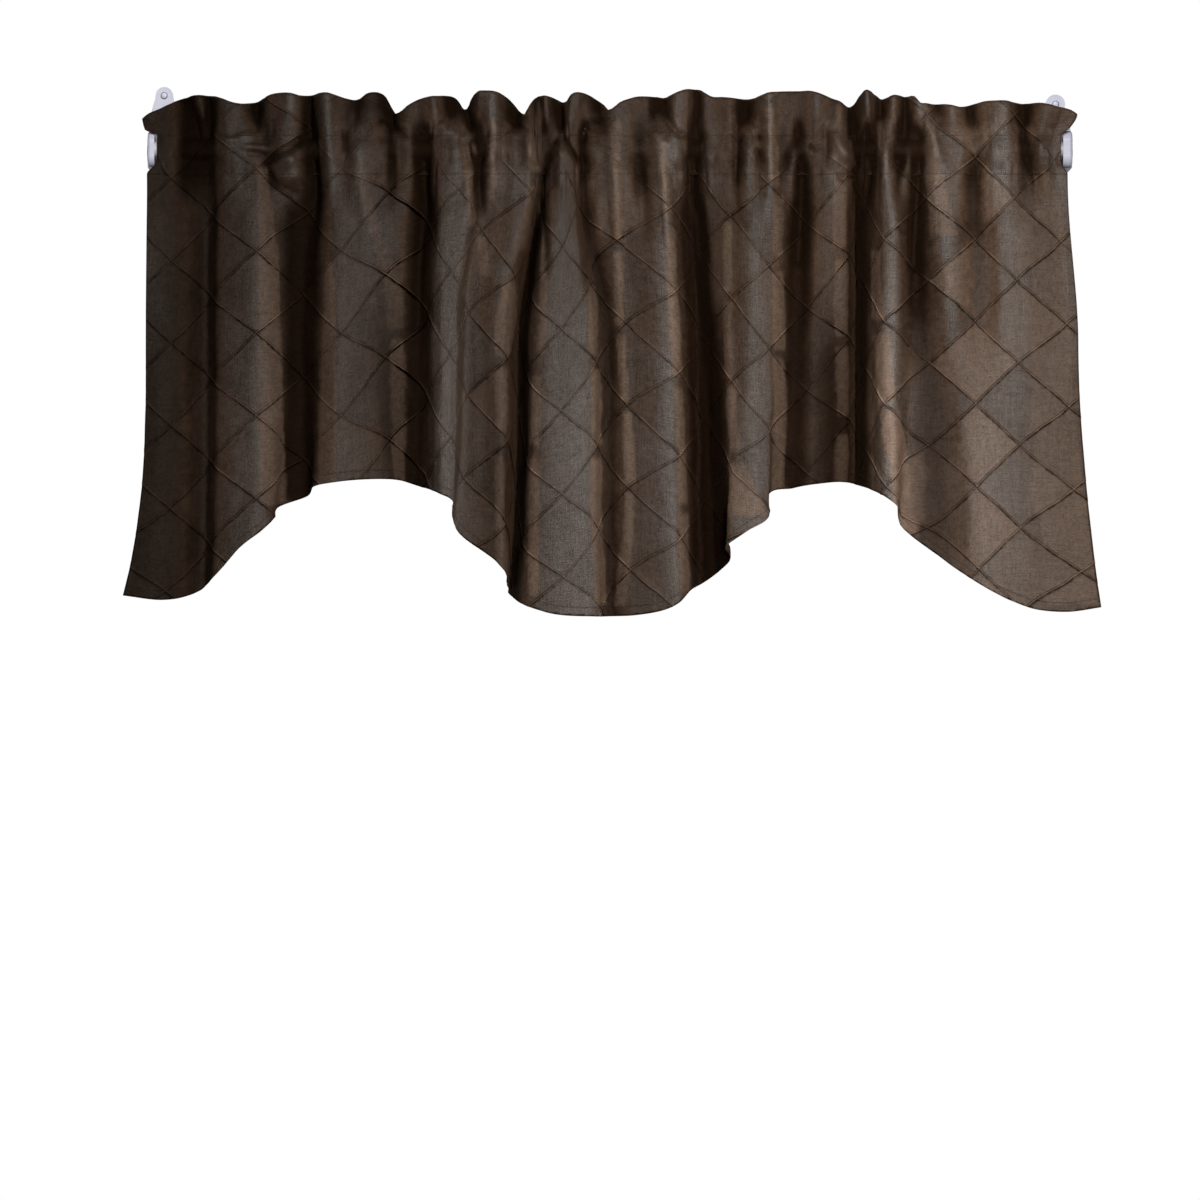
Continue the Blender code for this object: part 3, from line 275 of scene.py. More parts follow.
# Creases: how far each stands proud (a trough when negative), its
# reach to the left and right of its line, whether it starts and ends with a
# taper, and its line as (station, level) points.
CREASES = (
    # header and pocket, left third
    (-5.0, 4.0, 5.0, 0, 1, ((188, 96), (192, 113), (198, 135), (203, 158))),
    (-4.0, 6.0, 5.0, 0, 1, ((212, 96), (213, 112), (210, 128), (205, 146))),
    (3.0, 3.0, 3.0, 0, 1, ((200, 96), (203, 118), (207, 140))),
    (2.5, 4.0, 3.0, 1, 1, ((214, 131), (226, 140), (246, 137), (262, 139))),
    (-3.0, 6.0, 5.0, 0, 1, ((259, 100), (258, 118), (257, 136))),
    (-2.5, 2.5, 2.5, 1, 1, ((272, 114), (275, 126), (274, 138))),
    (2.4, 3.0, 3.0, 1, 1, ((240, 147), (256, 148), (272, 150))),
    (-2.4, 2.5, 3.0, 1, 1, ((244, 153), (256, 154), (268, 153))),
    (-5.0, 4.0, 4.0, 1, 1, ((308, 128), (297, 143), (280, 154), (268, 162), (262, 171))),
    (5.5, 9.0, 9.0, 1, 1, ((291, 150), (292, 166), (295, 186))),
    (-5.0, 4.0, 4.5, 1, 1, ((266, 164), (271, 178), (284, 189), (302, 194))),
    (-7.0, 5.0, 4.0, 0, 1, ((312, 94), (310, 122), (313, 148), (317, 172), (318, 200), (315, 232))),
    (2.6, 6.0, 7.0, 0, 1, ((326, 98), (326, 125), (329, 150), (333, 178), (331, 212))),
    (-3.0, 3.0, 3.0, 1, 1, ((343, 126), (346, 142), (347, 158))),
    (1.8, 6.5, 7.0, 1, 1, ((357, 132), (360, 165), (364, 205), (368, 245))),
    (-3.5, 3.0, 2.5, 0, 1, ((359, 97), (358, 112), (357, 128))),
    (-6.0, 3.5, 3.5, 0, 1, ((391, 108), (393, 121), (400, 131), (409, 137))),
    (-3.5, 3.0, 3.0, 1, 1, ((374, 127), (383, 120), (392, 126), (396, 135))),
    (3.0, 5.0, 5.0, 1, 1, ((404, 113), (398, 128), (392, 146))),
    (-3.0, 3.5, 3.5, 1, 1, ((399, 142), (404, 158), (401, 172))),
    (-8.0, 5.0, 6.0, 1, 1, ((427, 120), (424, 148), (425, 178), (428, 205), (431, 232))),
    (3.0, 3.5, 3.5, 0, 1, ((433, 98), (435, 118), (437, 134))),
    (3.0, 5.0, 6.0, 1, 1, ((440, 120), (446, 128), (449, 138))),
    (-3.0, 2.5, 3.0, 1, 1, ((441, 117), (433, 127), (428, 143))),
    # header and pocket, middle third
    (-3.5, 6.0, 5.0, 0, 1, ((450, 97), (451, 110), (453, 124))),
    (-7.0, 4.0, 3.5, 0, 1, ((467, 109), (470, 120), (471, 134))),
    (-4.0, 3.5, 4.0, 1, 1, ((466, 138), (469, 154), (472, 168))),
    (4.0, 4.0, 4.0, 1, 1, ((474, 140), (474, 150), (479, 160))),
    (3.5, 4.5, 4.5, 1, 1, ((467, 160), (469, 190), (472, 225))),
    (-6.0, 3.0, 3.0, 1, 1, ((489, 118), (487, 138), (484, 154), (481, 172))),
    (-5.0, 5.0, 5.0, 1, 1, ((480, 165), (479, 190), (481, 220))),
    (2.6, 5.0, 6.0, 0, 1, ((494, 100), (494, 135), (494, 170), (496, 205))),
    (-6.0, 7.0, 7.0, 1, 1, ((513, 104), (515, 120), (517, 136))),
    (-3.0, 2.0, 2.0, 1, 1, ((512, 119), (520, 127), (530, 133))),
    (5.0, 4.0, 4.5, 1, 1, ((529, 132), (531, 150), (534, 168))),
    (3.0, 3.5, 3.5, 1, 1, ((530, 171), (541, 171), (549, 160), (552, 146))),
    (-5.0, 3.5, 3.5, 0, 1, ((540, 95), (543, 115), (544, 138))),
    (-9.0, 4.5, 3.5, 0, 1, ((564, 99), (563, 112), (562, 124), (560, 136))),
    (-7.0, 2.8, 3.2, 1, 1, ((561, 126), (556, 143), (549, 158), (543, 174), (539, 192))),
    (-7.0, 3.0, 3.0, 1, 1, ((561, 128), (567, 145), (574, 156), (579, 168))),
    (4.0, 5.0, 5.0, 1, 1, ((561, 142), (561, 165), (560, 195))),
    (3.0, 4.0, 5.0, 0, 1, ((572, 96), (569, 112), (568, 130))),
    (-6.0, 3.0, 3.0, 1, 1, ((602, 118), (590, 122), (583, 134), (583, 150), (585, 168), (584, 184))),
    (-5.0, 7.0, 6.0, 1, 1, ((601, 114), (601, 125), (600, 137))),
    (1.2, 6.0, 7.0, 1, 1, ((590, 136), (594, 155), (597, 180))),
    (-3.5, 4.0, 4.0, 0, 1, ((654, 98), (653, 112), (652, 126))),
    (-5.5, 3.5, 3.0, 0, 1, ((667, 98), (669, 118), (675, 131), (692, 139))),
    (3.5, 5.0, 5.0, 1, 1, ((650, 130), (660, 141), (671, 146))),
    (3.5, 4.0, 5.0, 1, 1, ((661, 148), (664, 185), (667, 225), (670, 262))),
    (3.5, 5.0, 4.0, 1, 1, ((613, 140), (616, 180), (618, 225), (619, 262))),
    (-4.0, 6.0, 6.0, 1, 1, ((641, 148), (643, 180), (644, 215), (645, 250))),
    (-4.0, 5.0, 4.0, 0, 1, ((698, 92), (698, 110), (698, 128))),
    (-9.0, 4.5, 5.0, 1, 1, ((699, 118), (698, 145), (694, 170), (693, 195), (697, 225))),
    (-6.0, 3.0, 4.0, 1, 1, ((698, 185), (700, 212), (702, 240), (705, 275))),
    (3.5, 5.0, 7.0, 1, 1, ((706, 140), (709, 170), (712, 205))),
    (-5.5, 8.0, 6.0, 0, 1, ((748, 97), (747, 115), (744, 134))),
    (-5.5, 4.0, 4.5, 1, 1, ((744, 124), (740, 145), (737, 168), (735, 190))),
    # header and pocket, right third
    (-3.0, 2.5, 2.5, 1, 1, ((749, 130), (757, 137), (767, 139))),
    (-3.5, 3.0, 3.5, 1, 1, ((752, 147), (761, 157), (765, 172))),
    (2.6, 5.0, 6.0, 0, 1, ((769, 96), (771, 120), (771, 150), (773, 190), (776, 235))),
    (-4.0, 4.0, 4.5, 1, 1, ((796, 112), (795, 135), (789, 155), (785, 178))),
    (-7.0, 6.0, 6.0, 1, 0, ((804, 150), (803, 172), (802, 200), (800, 240))),
    (-2.5, 2.5, 2.5, 1, 1, ((806, 141), (814, 149), (824, 143))),
    (-4.0, 4.0, 4.0, 1, 1, ((823, 120), (826, 142), (824, 166))),
    (5.0, 5.0, 5.0, 1, 1, ((834, 128), (839, 146), (848, 159), (853, 169))),
    (-4.5, 3.0, 3.0, 1, 1, ((836, 171), (842, 179), (851, 174), (857, 166))),
    (-7.0, 4.0, 3.5, 0, 1, ((848, 105), (847, 120), (848, 132), (845, 146))),
    (-5.0, 3.0, 3.0, 1, 1, ((857, 134), (857, 152), (856, 172))),
    (-8.0, 4.0, 4.5, 1, 1, ((865, 122), (869, 145), (872, 168), (868, 192), (866, 215))),
    (-5.0, 6.0, 6.0, 0, 1, ((884, 98), (883, 110), (881, 123))),
    (5.0, 3.5, 3.5, 0, 1, ((867, 90), (868, 108), (869, 128))),
    (2.4, 7.0, 8.0, 1, 1, ((882, 128), (885, 160), (891, 200), (895, 250))),
    (-7.5, 4.5, 4.5, 0, 1, ((906, 96), (906, 118), (904, 142), (901, 166), (901, 182))),
    (-4.5, 3.0, 3.0, 1, 1, ((891, 140), (895, 155), (900, 174))),
    (-8.5, 5.0, 6.0, 1, 0, ((919, 120), (918, 142), (920, 168), (918, 200), (915, 245))),
    (3.5, 6.0, 7.0, 1, 1, ((924, 108), (931, 134), (941, 160), (948, 195))),
    (-3.5, 5.0, 5.0, 0, 1, ((940, 103), (941, 115), (943, 130))),
    (-3.5, 6.0, 6.0, 0, 1, ((971, 103), (971, 118), (972, 134))),
    (-5.0, 8.0, 8.0, 1, 1, ((968, 150), (970, 180), (972, 215), (974, 250))),
    (-5.0, 8.0, 7.0, 0, 1, ((1027, 102), (1025, 116), (1023, 130))),
    (-6.0, 5.0, 6.0, 1, 1, ((1019, 124), (1026, 148), (1034, 176), (1041, 208))),
    (3.5, 6.0, 6.0, 1, 1, ((1035, 132), (1045, 155), (1052, 180))),
    (-2.5, 4.0, 4.0, 0, 1, ((1058, 105), (1054, 118), (1050, 130))),
    # long soft creases of the skirt
    (-4.0, 3.0, 3.0, 1, 1, ((544, 170), (541, 190), (545, 225), (546, 285))),
    (-3.5, 4.0, 4.0, 1, 1, ((583, 186), (582, 215), (585, 250), (590, 300))),
    (2.5, 4.0, 3.0, 1, 1, ((600, 190), (600, 215), (604, 245))),
)

# Copper sheen streaks painted as highlights along the edges of folds where they turn,
# each over a real pressed edge: how strong the painted streak is, how far the pressed
# edge stands proud, and its line as (station, level, half width) points.
PAINTED_STREAKS = (
    (0.75, 0.4, ((262, 168, 5), (265, 210, 8), (268, 260, 10), (270, 340, 11), (271, 430, 12), (273, 505, 13))),
    (0.60, 0.5, ((330, 262, 4), (330, 310, 6), (329, 360, 8), (328, 420, 9), (327, 486, 9))),
    (0.35, 0.4, ((362, 165, 5), (365, 195, 6), (373, 222, 6), (383, 255, 7), (393, 290, 9), (396, 330, 9))),
    (0.55, 0.6, ((397, 338, 7), (397, 380, 8), (398, 430, 7), (399, 482, 6))),
    (0.45, 0.3, ((434, 108, 4), (434, 134, 4))),
    (0.75, 0.6, ((466, 146, 4), (469, 190, 4.5), (472, 226, 4.5))),
    (0.50, 0.4, ((481, 236, 5), (486, 276, 6))),
    (0.60, 0.5, ((492, 122, 3.5), (492, 160, 4), (491, 200, 4))),
    (0.90, 0.5, ((509, 281, 8), (507, 310, 10), (503, 340, 9), (502, 356, 6))),
    (0.75, 0.6, ((501, 368, 6), (501, 400, 5.5), (501, 432, 5))),
    (0.70, 0.6, ((499, 456, 5), (500, 500, 4.5), (501, 545, 5), (502, 575, 5))),
    (0.80, 0.6, ((530, 134, 3.5), (531, 155, 4.5), (535, 172, 5))),
    (0.50, 0.4, ((532, 186, 4), (527, 222, 4), (521, 250, 4))),
    (0.55, 0.5, ((543, 268, 3.5), (543, 320, 4), (541, 356, 4))),
    (0.85, 0.7, ((537, 376, 4.5), (536, 410, 4.5), (535, 446, 4.5))),
    (0.90, 0.7, ((535, 458, 4.5), (534, 500, 5), (533, 545, 5.5), (534, 596, 5.5))),
    (0.90, 0.7, ((592, 286, 4), (593, 330, 4.5), (593, 356, 4.5))),
    (0.95, 0.7, ((595, 369, 5), (596, 410, 5.5), (596, 444, 5))),
    (0.95, 0.7, ((596, 458, 5.5), (595, 500, 5.5), (597, 530, 5.5), (599, 570, 5.5), (600, 604, 6))),
    (0.40, 0.3, ((598, 196, 3.5), (599, 240, 3.5))),
    (0.70, 0.5, ((616, 122, 4), (616, 160, 5), (617, 200, 5), (618, 240, 4))),
    (0.80, 0.6, ((618, 252, 4), (619, 290, 4.5), (620, 326, 4))),
    (0.80, 0.7, ((621, 335, 4), (623, 370, 4), (625, 402, 4))),
    (0.90, 0.7, ((627, 412, 4.5), (629, 450, 6), (631, 484, 5.5))),
    (0.85, 0.7, ((630, 492, 5), (629, 530, 5), (625, 560, 6), (621, 606, 6))),
    (0.50, 0.5, ((661, 136, 4.5), (662, 150, 5))),
    (0.75, 0.6, ((662, 152, 4), (665, 190, 4.5), (668, 222, 5))),
    (0.90, 0.6, ((669, 228, 5), (671, 270, 5), (674, 320, 5.5), (677, 376, 5))),
    (0.95, 0.7, ((678, 388, 4.5), (680, 430, 4.5), (682, 470, 4.5), (682, 504, 4.5))),
    (0.95, 0.7, ((683, 514, 5), (683, 550, 5), (685, 592, 5))),
    (0.30, 0.3, ((731, 112, 4.5), (733, 150, 5), (732, 200, 4.5))),
    (0.65, 0.6, ((729, 222, 4.5), (728, 260, 4.5), (728, 292, 4))),
    (0.70, 0.7, ((728, 302, 4), (728, 340, 4), (729, 378, 4))),
    (0.75, 0.7, ((731, 388, 5), (733, 425, 5), (735, 452, 5))),
    (0.75, 0.3, ((738, 464, 8), (744, 492, 14), (748, 516, 20))),
    (0.60, 0.5, ((770, 108, 3.5), (773, 150, 4), (775, 186, 4))),
    (0.60, 0.6, ((778, 196, 5), (778, 226, 5), (777, 256, 5))),
    (0.70, 0.6, ((778, 272, 5.5), (778, 310, 6.5), (779, 350, 6.5))),
    (0.70, 0.6, ((778, 358, 6), (779, 400, 6.5), (778, 430, 7), (778, 500, 7.5))),
    (0.40, 0.3, ((841, 106, 6), (840, 146, 6.5), (839, 200, 7), (839, 248, 7.5))),
    (0.50, 0.5, ((841, 260, 7), (841, 300, 7.5), (842, 336, 7))),
    (0.45, 0.5, ((842, 346, 6.5), (843, 380, 6.5), (843, 416, 6))),
    (0.45, 0.5, ((842, 434, 6), (842, 490, 6.5))),
    (0.70, 0.5, ((876, 250, 4), (877, 290, 5.5), (879, 320, 6))),
    (0.85, 0.4, ((881, 334, 7), (884, 370, 7.5), (887, 404, 8))),
    (0.95, 0.3, ((890, 410, 9), (893, 435, 10), (898, 465, 10), (904, 505, 11), (908, 535, 12))),
    (0.60, 0.0, ((930, 124, 4), (932, 160, 6), (938, 200, 10), (944, 236, 14))),
    (0.35, 0.0, ((1042, 170, 8), (1050, 230, 16), (1050, 300, 20), (1052, 400, 21), (1062, 500, 24), (1072, 605, 26))),
)

# Single diamonds of the wide right panel given a painted highlight: how strong,
# the diamond's lattice column and row, and the stations its painted bright part
# begins and ends at.
PAINTED_LIT_DIAMONDS = (
    (0.40, 25, -2, 950.0, 1000.0), (0.45, 25, 0, 984.0, 1010.0), (0.62, 25, 2, 925.0, 968.0),
    (0.50, 25, 4, 935.0, 1018.0), (0.58, 25, 6, 961.0, 1020.0), (0.62, 25, 8, 967.0, 1024.0),
    (0.35, 25, 10, 960.0, 1024.0), (0.30, 26, 1, 1018.0, 1060.0), (0.25, 26, 3, 1024.0, 1062.0),
    (0.40, 26, 5, 1030.0, 1064.0), (0.38, 26, 7, 1030.0, 1068.0), (0.25, 26, 9, 990.0, 1070.0),
    (0.45, 24, 7, 905.0, 924.0),
)

# Stretches with a painted grey sheen, laid on as crest highlight: how plainly, the station, half
# width, and the levels it begins and ends at.
PAINTED_GREY_SHEEN = (
    (0.60, 460.0, 9.0, 265.0, 560.0), (0.50, 904.0, 11.0, 370.0, 560.0),
)

# How plainly the stitched tucks show along the cloth, both their real height and the
# painted shadow and highlight beside them: station, in the skirt and above it.
TUCKS_SEEN = (
    # at     skirt  above
    (146.0, 0.75, 0.30), (206.0, 0.80, 0.30), (225.0, 0.85, 0.45), (262.0, 1.00, 0.50), (300.0, 0.85, 0.50),
    (335.0, 0.55, 0.20), (360.0, 0.50, 0.20), (385.0, 1.35, 0.20), (425.0, 1.45, 0.20), (442.0, 0.60, 0.15),
    (462.0, 0.45, 0.25), (485.0, 0.95, 0.30), (505.0, 0.95, 0.30), (520.0, 0.55, 0.10), (535.0, 0.90, 0.15),
    (560.0, 0.55, 0.20), (575.0, 0.50, 0.20), (595.0, 0.85, 0.15), (628.0, 0.95, 0.20), (650.0, 0.50, 0.15),
    (680.0, 0.80, 0.15), (704.0, 0.30, 0.10), (730.0, 0.90, 0.20), (755.0, 0.60, 0.15), (780.0, 0.85, 0.20),
    (815.0, 0.60, 0.15), (845.0, 1.10, 0.15), (858.0, 0.60, 0.10), (878.0, 0.90, 0.15), (900.0, 0.90, 0.20),
    (925.0, 0.85, 0.40), (960.0, 0.95, 0.70), (1000.0, 0.95, 0.75), (1078.0, 1.05, 0.60),
)

# Painted shade on broad stretches, or a painted brightening where negative: station,
# how dim above and below.
PAINTED_SHADE = (
    (146.0, 0.22, 0.38), (160.0, 0.30, 0.42), (187.0, 0.48, 0.48), (205.0, 0.15, 0.02), (222.0, 0.05, -0.20),
    (245.0, 0.05, -0.25), (268.0, 0.00, -0.10), (330.0, 0.00, 0.05), (362.0, 0.05, 0.02), (385.0, 0.15, 0.42),
    (410.0, 0.20, 0.35), (432.0, 0.12, -0.12), (458.0, 0.02, -0.20), (480.0, -0.12, 0.00), (503.0, 0.10, 0.32),
    (522.0, 0.10, -0.75), (545.0, -0.02, -0.05), (572.0, 0.12, -0.05), (595.0, 0.22, -0.15), (622.0, 0.08, 0.12),
    (655.0, 0.10, 0.02), (682.0, -0.05, 0.02), (704.0, 0.15, 0.72), (730.0, 0.32, 0.05), (760.0, 0.08, 0.12),
    (790.0, 0.15, 0.10), (825.0, 0.18, 0.35), (842.0, 0.15, 0.60), (856.0, 0.42, 0.55), (876.0, 0.12, -0.45),
    (894.0, 0.02, -0.42), (908.0, -0.05, -0.40), (922.0, -0.05, 0.10), (945.0, 0.00, 0.18), (978.0, 0.05, -0.15), (1015.0, -0.15, -0.07),
    (1040.0, 0.25, 0.10), (1078.0, 0.05, 0.02),
)


# ------------------------------------------------------------- small helpers
def smooth(t):
    t = np.clip(t, 0.0, 1.0)
    return t * t * (3.0 - 2.0 * t)


def mix(a, b, t):
    return a + (b - a) * t


class Track:
    """A smooth curve through rows of values, against a rising parameter."""

    def __init__(self, at, rows, pull=0.9):
        self.at = np.asarray(at, float)
        self.rows = np.asarray(rows, float)
        if self.rows.ndim == 1:
            self.rows = self.rows[:, None]
        span = np.diff(self.at)[:, None]
        slope = np.diff(self.rows, axis=0) / span
        tangent = np.empty_like(self.rows)
        tangent[0], tangent[-1] = slope[0], slope[-1]
        tangent[1:-1] = ((slope[1:] * span[:-1] + slope[:-1] * span[1:])
                         / (span[:-1] + span[1:]))
        self.tangent = tangent * pull

    def __call__(self, s):
        s = np.clip(np.asarray(s, float), self.at[0], self.at[-1])
        k = np.clip(np.searchsorted(self.at, s, "right") - 1, 0, len(self.at) - 2)
        h = (self.at[k + 1] - self.at[k])[..., None]
        t = (s - self.at[k])[..., None] / h
        a, b = self.rows[k], self.rows[k + 1]
        ma, mb = self.tangent[k] * h, self.tangent[k + 1] * h
        value = ((2 * t ** 3 - 3 * t ** 2 + 1) * a + (t ** 3 - 2 * t ** 2 + t) * ma
                 + (-2 * t ** 3 + 3 * t ** 2) * b + (t ** 3 - t ** 2) * mb)
        return value if value.shape[-1] > 1 else value[..., 0]


def value_noise(x, y, seed):
    """Smooth noise between -1 and 1 on a unit grid, the same in every run."""
    rng = np.random.RandomState(seed)
    table = rng.uniform(-1.0, 1.0, (64, 64))
    xi, yi = np.floor(x).astype(int), np.floor(y).astype(int)
    fx, fy = smooth(x - xi), smooth(y - yi)
    a = table[xi % 64, yi % 64]
    b = table[(xi + 1) % 64, yi % 64]
    c = table[xi % 64, (yi + 1) % 64]
    d = table[(xi + 1) % 64, (yi + 1) % 64]
    return mix(mix(a, b, fx), mix(c, d, fx), fy)


def facing(grid):
    """Unit normals of a grid of points, towards the room."""
    across = np.gradient(grid, axis=0)
    down = np.gradient(grid, axis=1)
    n = np.cross(down, across)
    return n / np.maximum(np.linalg.norm(n, axis=2, keepdims=True), 1e-9)


# ------------------------------------------------------ the cloth's main form
fold_rows = np.array([row[1:] for row in FOLDS], float)
section = np.array(PROFILE)
fold_at = np.concatenate([[0.0], np.cumsum(np.linalg.norm(np.diff(section[:, ::2], axis=0), axis=1))])
folds = Track(fold_at, section)
plan = Track(fold_rows[:, 1], fold_rows[:, (0, 2, 3)])
ruffle = Track([r[0] for r in RUFFLE], [r[1:] for r in RUFFLE], pull=0.9)
pucker = Track([r[0] for r in PLEATS], [r[1] for r in PLEATS], pull=0.9)
tucks_seen = Track([r[0] for r in TUCKS_SEEN], [r[1:] for r in TUCKS_SEEN], pull=0.9)
painted_shading = Track([r[0] for r in PAINTED_SHADE], [r[1:] for r in PAINTED_SHADE], pull=0.9)

fine_s = np.linspace(0.0, fold_at[-1], 6000)
fine_mid = np.maximum.accumulate(folds(fine_s)[:, 0])
lattice_u = np.array([EDGE_LEFT] + [row[0] for row in LATTICE] + [EDGE_RIGHT], float)
lattice_s = np.concatenate([[0.0], np.interp([row[1] for row in LATTICE], fine_mid, fine_s), [fold_at[-1]]])
cloth_at = Track(lattice_u, lattice_s, pull=0.9)
row_shift = Track([row[0] for row in LATTICE], [row[2] for row in LATTICE], pull=0.9)

# mesh columns on the lattice's own steps, and the two cut edges
first = int(math.ceil(EDGE_LEFT * CELL + 0.3))
last = int(math.floor(EDGE_RIGHT * CELL - 0.3))
col_u = np.array([EDGE_LEFT] + [k / CELL for k in range(first, last + 1)] + [EDGE_RIGHT])
col_s = cloth_at(col_u)
n_cols = len(col_u)
x_mid, proud_up, proud_low = (folds(col_s)[:, i] for i in range(3))
x_head, x_hem, hem = (plan(x_mid)[:, i] for i in range(3))
pleat = pucker(x_head)
at_seam = mix(pleat, np.maximum(proud_up, SEAM_BEHIND) * FOLD_AT_SEAM, 0.5)
shift = row_shift(col_u)
seam_level = ROD_LEVEL - SEAM_LOW_Z
end_left, end_right = FOLDS[0][1], FOLDS[-1][1]


def end_shift(level, x):
    """How far a station near an end is moved at this level."""
    left = ENDS[level][1] - end_left
    right = ENDS[level][2] - end_right
    from_left = np.maximum(0.0, 1.0 - (x - end_left) / END_REACH)
    from_right = np.maximum(0.0, 1.0 - (end_right - x) / END_REACH)
    return left * from_left ** 2 + right * from_right ** 2


def skirt_points(level):
    """Points of the skirt for an array of levels, one row of it per column."""
    t = (level - seam_level) / (hem - seam_level)[:, None]
    a, m, b = x_head[:, None], x_mid[:, None], x_hem[:, None]
    upper = mix(a, m, smooth(t / MID_AT))
    across = ((x_mid - FOLDS[0][2]) / (FOLDS[-1][2] - FOLDS[0][2]))[:, None]
    late = np.clip((t - MID_AT) / (1.0 - MID_AT), 0.0, 1.2)
    lower = mix(m, b, late ** mix(LEAN_LEFT, LEAN_RIGHT, across))
    x = np.where(t < MID_AT, upper, lower)
    x = x + end_shift(4, a) * np.clip(1.0 - t / 0.06, 0.0, 1.0)
    stands = mix(proud_up[:, None], proud_low[:, None], smooth((t - 0.25) / 0.40))
    stands = mix(at_seam[:, None], stands, smooth(t / FOLD_FULL_AT)) * mix(1.0, HEM_FLARE, t)
    y = ROD_Y + mix(SEAM_Y, SKIRT_Y, smooth(t / 0.1)) - stands
    return np.stack([x - STATION_MID, y, ROD_LEVEL - level], axis=2)


def header_points():
    """The header's middle surface, the top edge first, down to its seam."""
    q = (np.linspace(0.0, 1.0, HEADER_ROWS) ** 1.08)[None, :]
    top_x = x_head + end_shift(0, x_head)
    top = ruffle(top_x)
    top_z, top_proud = ROD_LEVEL - top[:, 0], top[:, 1]
    top_proud = top_proud * HEADER_DEEP + 2.0
    seam_proud = mix(top_proud * 0.6, pleat * 0.9, 0.65) + HEADER_LEAN
    at_mid = x_head + end_shift(1, x_head)
    at_seam = x_head + end_shift(2, x_head)
    edge = np.maximum(0.0, 1.0 - np.minimum(x_head - end_left, end_right - x_head) / END_REACH)
    bend = mix(0.5, 0.7, edge)[:, None]
    x = np.where(q < bend, mix(top_x[:, None], at_mid[:, None], smooth(q / bend * 0.5) * 2.0),
                 mix(at_mid[:, None], at_seam[:, None], smooth(0.5 + 0.5 * (q - bend) / (1.0 - bend)) * 2.0 - 1.0))
    z = mix(top_z[:, None], SEAM_TOP_Z, q)
    y = ROD_Y - mix(top_proud[:, None], seam_proud[:, None], q ** 1.2)
    return np.stack([x - STATION_MID, y, z + 0.0 * x], axis=2), top_proud, seam_proud


def pocket_points(top_proud, seam_proud):
    """The rod pocket, front and back, from its upper to its lower seam."""
    share = np.linspace(0.0, 1.0, POCKET_ROWS + 1)[None, :]
    z = mix(SEAM_TOP_Z, SEAM_LOW_Z, share)
    low_proud = at_seam - SEAM_Y
    full = (POCKET_OUT + pleat)[:, None]
    hangs = np.where(share < 0.5, mix(seam_proud[:, None], full, smooth(share / 0.45)),
                     mix(full, low_proud[:, None], smooth((share - 0.55) / 0.45)))
    inside = np.abs(z) < POCKET_R
    rests = np.where(inside, np.sqrt(np.maximum(0.0, POCKET_R ** 2 - z ** 2)), -4.0 * (np.abs(z) - POCKET_R))
    out = 0.5 * (hangs + rests + np.sqrt((hangs - rests) ** 2 + 24.0))
    ends = smooth(np.minimum(share, 1.0 - share) / 0.12)
    out = mix(hangs, out, ends)
    x_top = (x_head + end_shift(2, x_head))[:, None]
    x_pocket = (x_head + end_shift(3, x_head))[:, None]
    x_low = (x_head + end_shift(4, x_head))[:, None]
    x = mix(x_top, x_pocket, smooth(share / 0.4))
    x = mix(x, x_low, smooth((share - 0.55) / 0.45) ** 2)
    front = np.stack([x - STATION_MID, ROD_Y - out, z + 0.0 * x], axis=2)

    seam_top, seam_low = front[:, 0], front[:, -1]
    back = [seam_top]
    for i, (_, far, at) in enumerate(POCKET):
        part = (i + 1) / (len(POCKET) + 1)
        local = mix(top_proud, proud_up * 0.5, part)
        bulge = np.clip(0.5 + local / 22.0, 0.0, 1.0) * math.sin(math.pi * mix(0.3, 0.75, part))
        back.append(np.stack([x_pocket[:, 0] - STATION_MID, ROD_Y + far + POCKET_FOLD_BACK * (1.0 - bulge),
                              np.full(n_cols, at)], axis=1))
    back.append(seam_low)
    at = [0.0, 5.0, 14.5, 34.5, 42.0]
    line = Track(at, np.array(back).reshape(len(at), -1), pull=1.0)
    rows = BACK_POCKET_ROWS + 1
    back = line(np.linspace(0.0, at[-1], rows)).reshape(rows, n_cols, 3).transpose(1, 0, 2)
    return front, back


header, top_proud, seam_proud = header_points()
pocket, pocket_back = pocket_points(top_proud, seam_proud)

row_step = LATTICE_HIGH / CELL
mean_shift = LATTICE_LEVEL - LATTICE_HIGH * 12 / CELL - seam_level   # row 12 is a row of crossings
n_skirt = int(math.ceil((hem.max() - seam_level + 40.0) / row_step))
j = np.arange(1, n_skirt + 1)[None, :]
drop = row_step * j
skirt_level = seam_level + drop + (shift[:, None] + mean_shift) * smooth(drop / ALIGN_OVER)


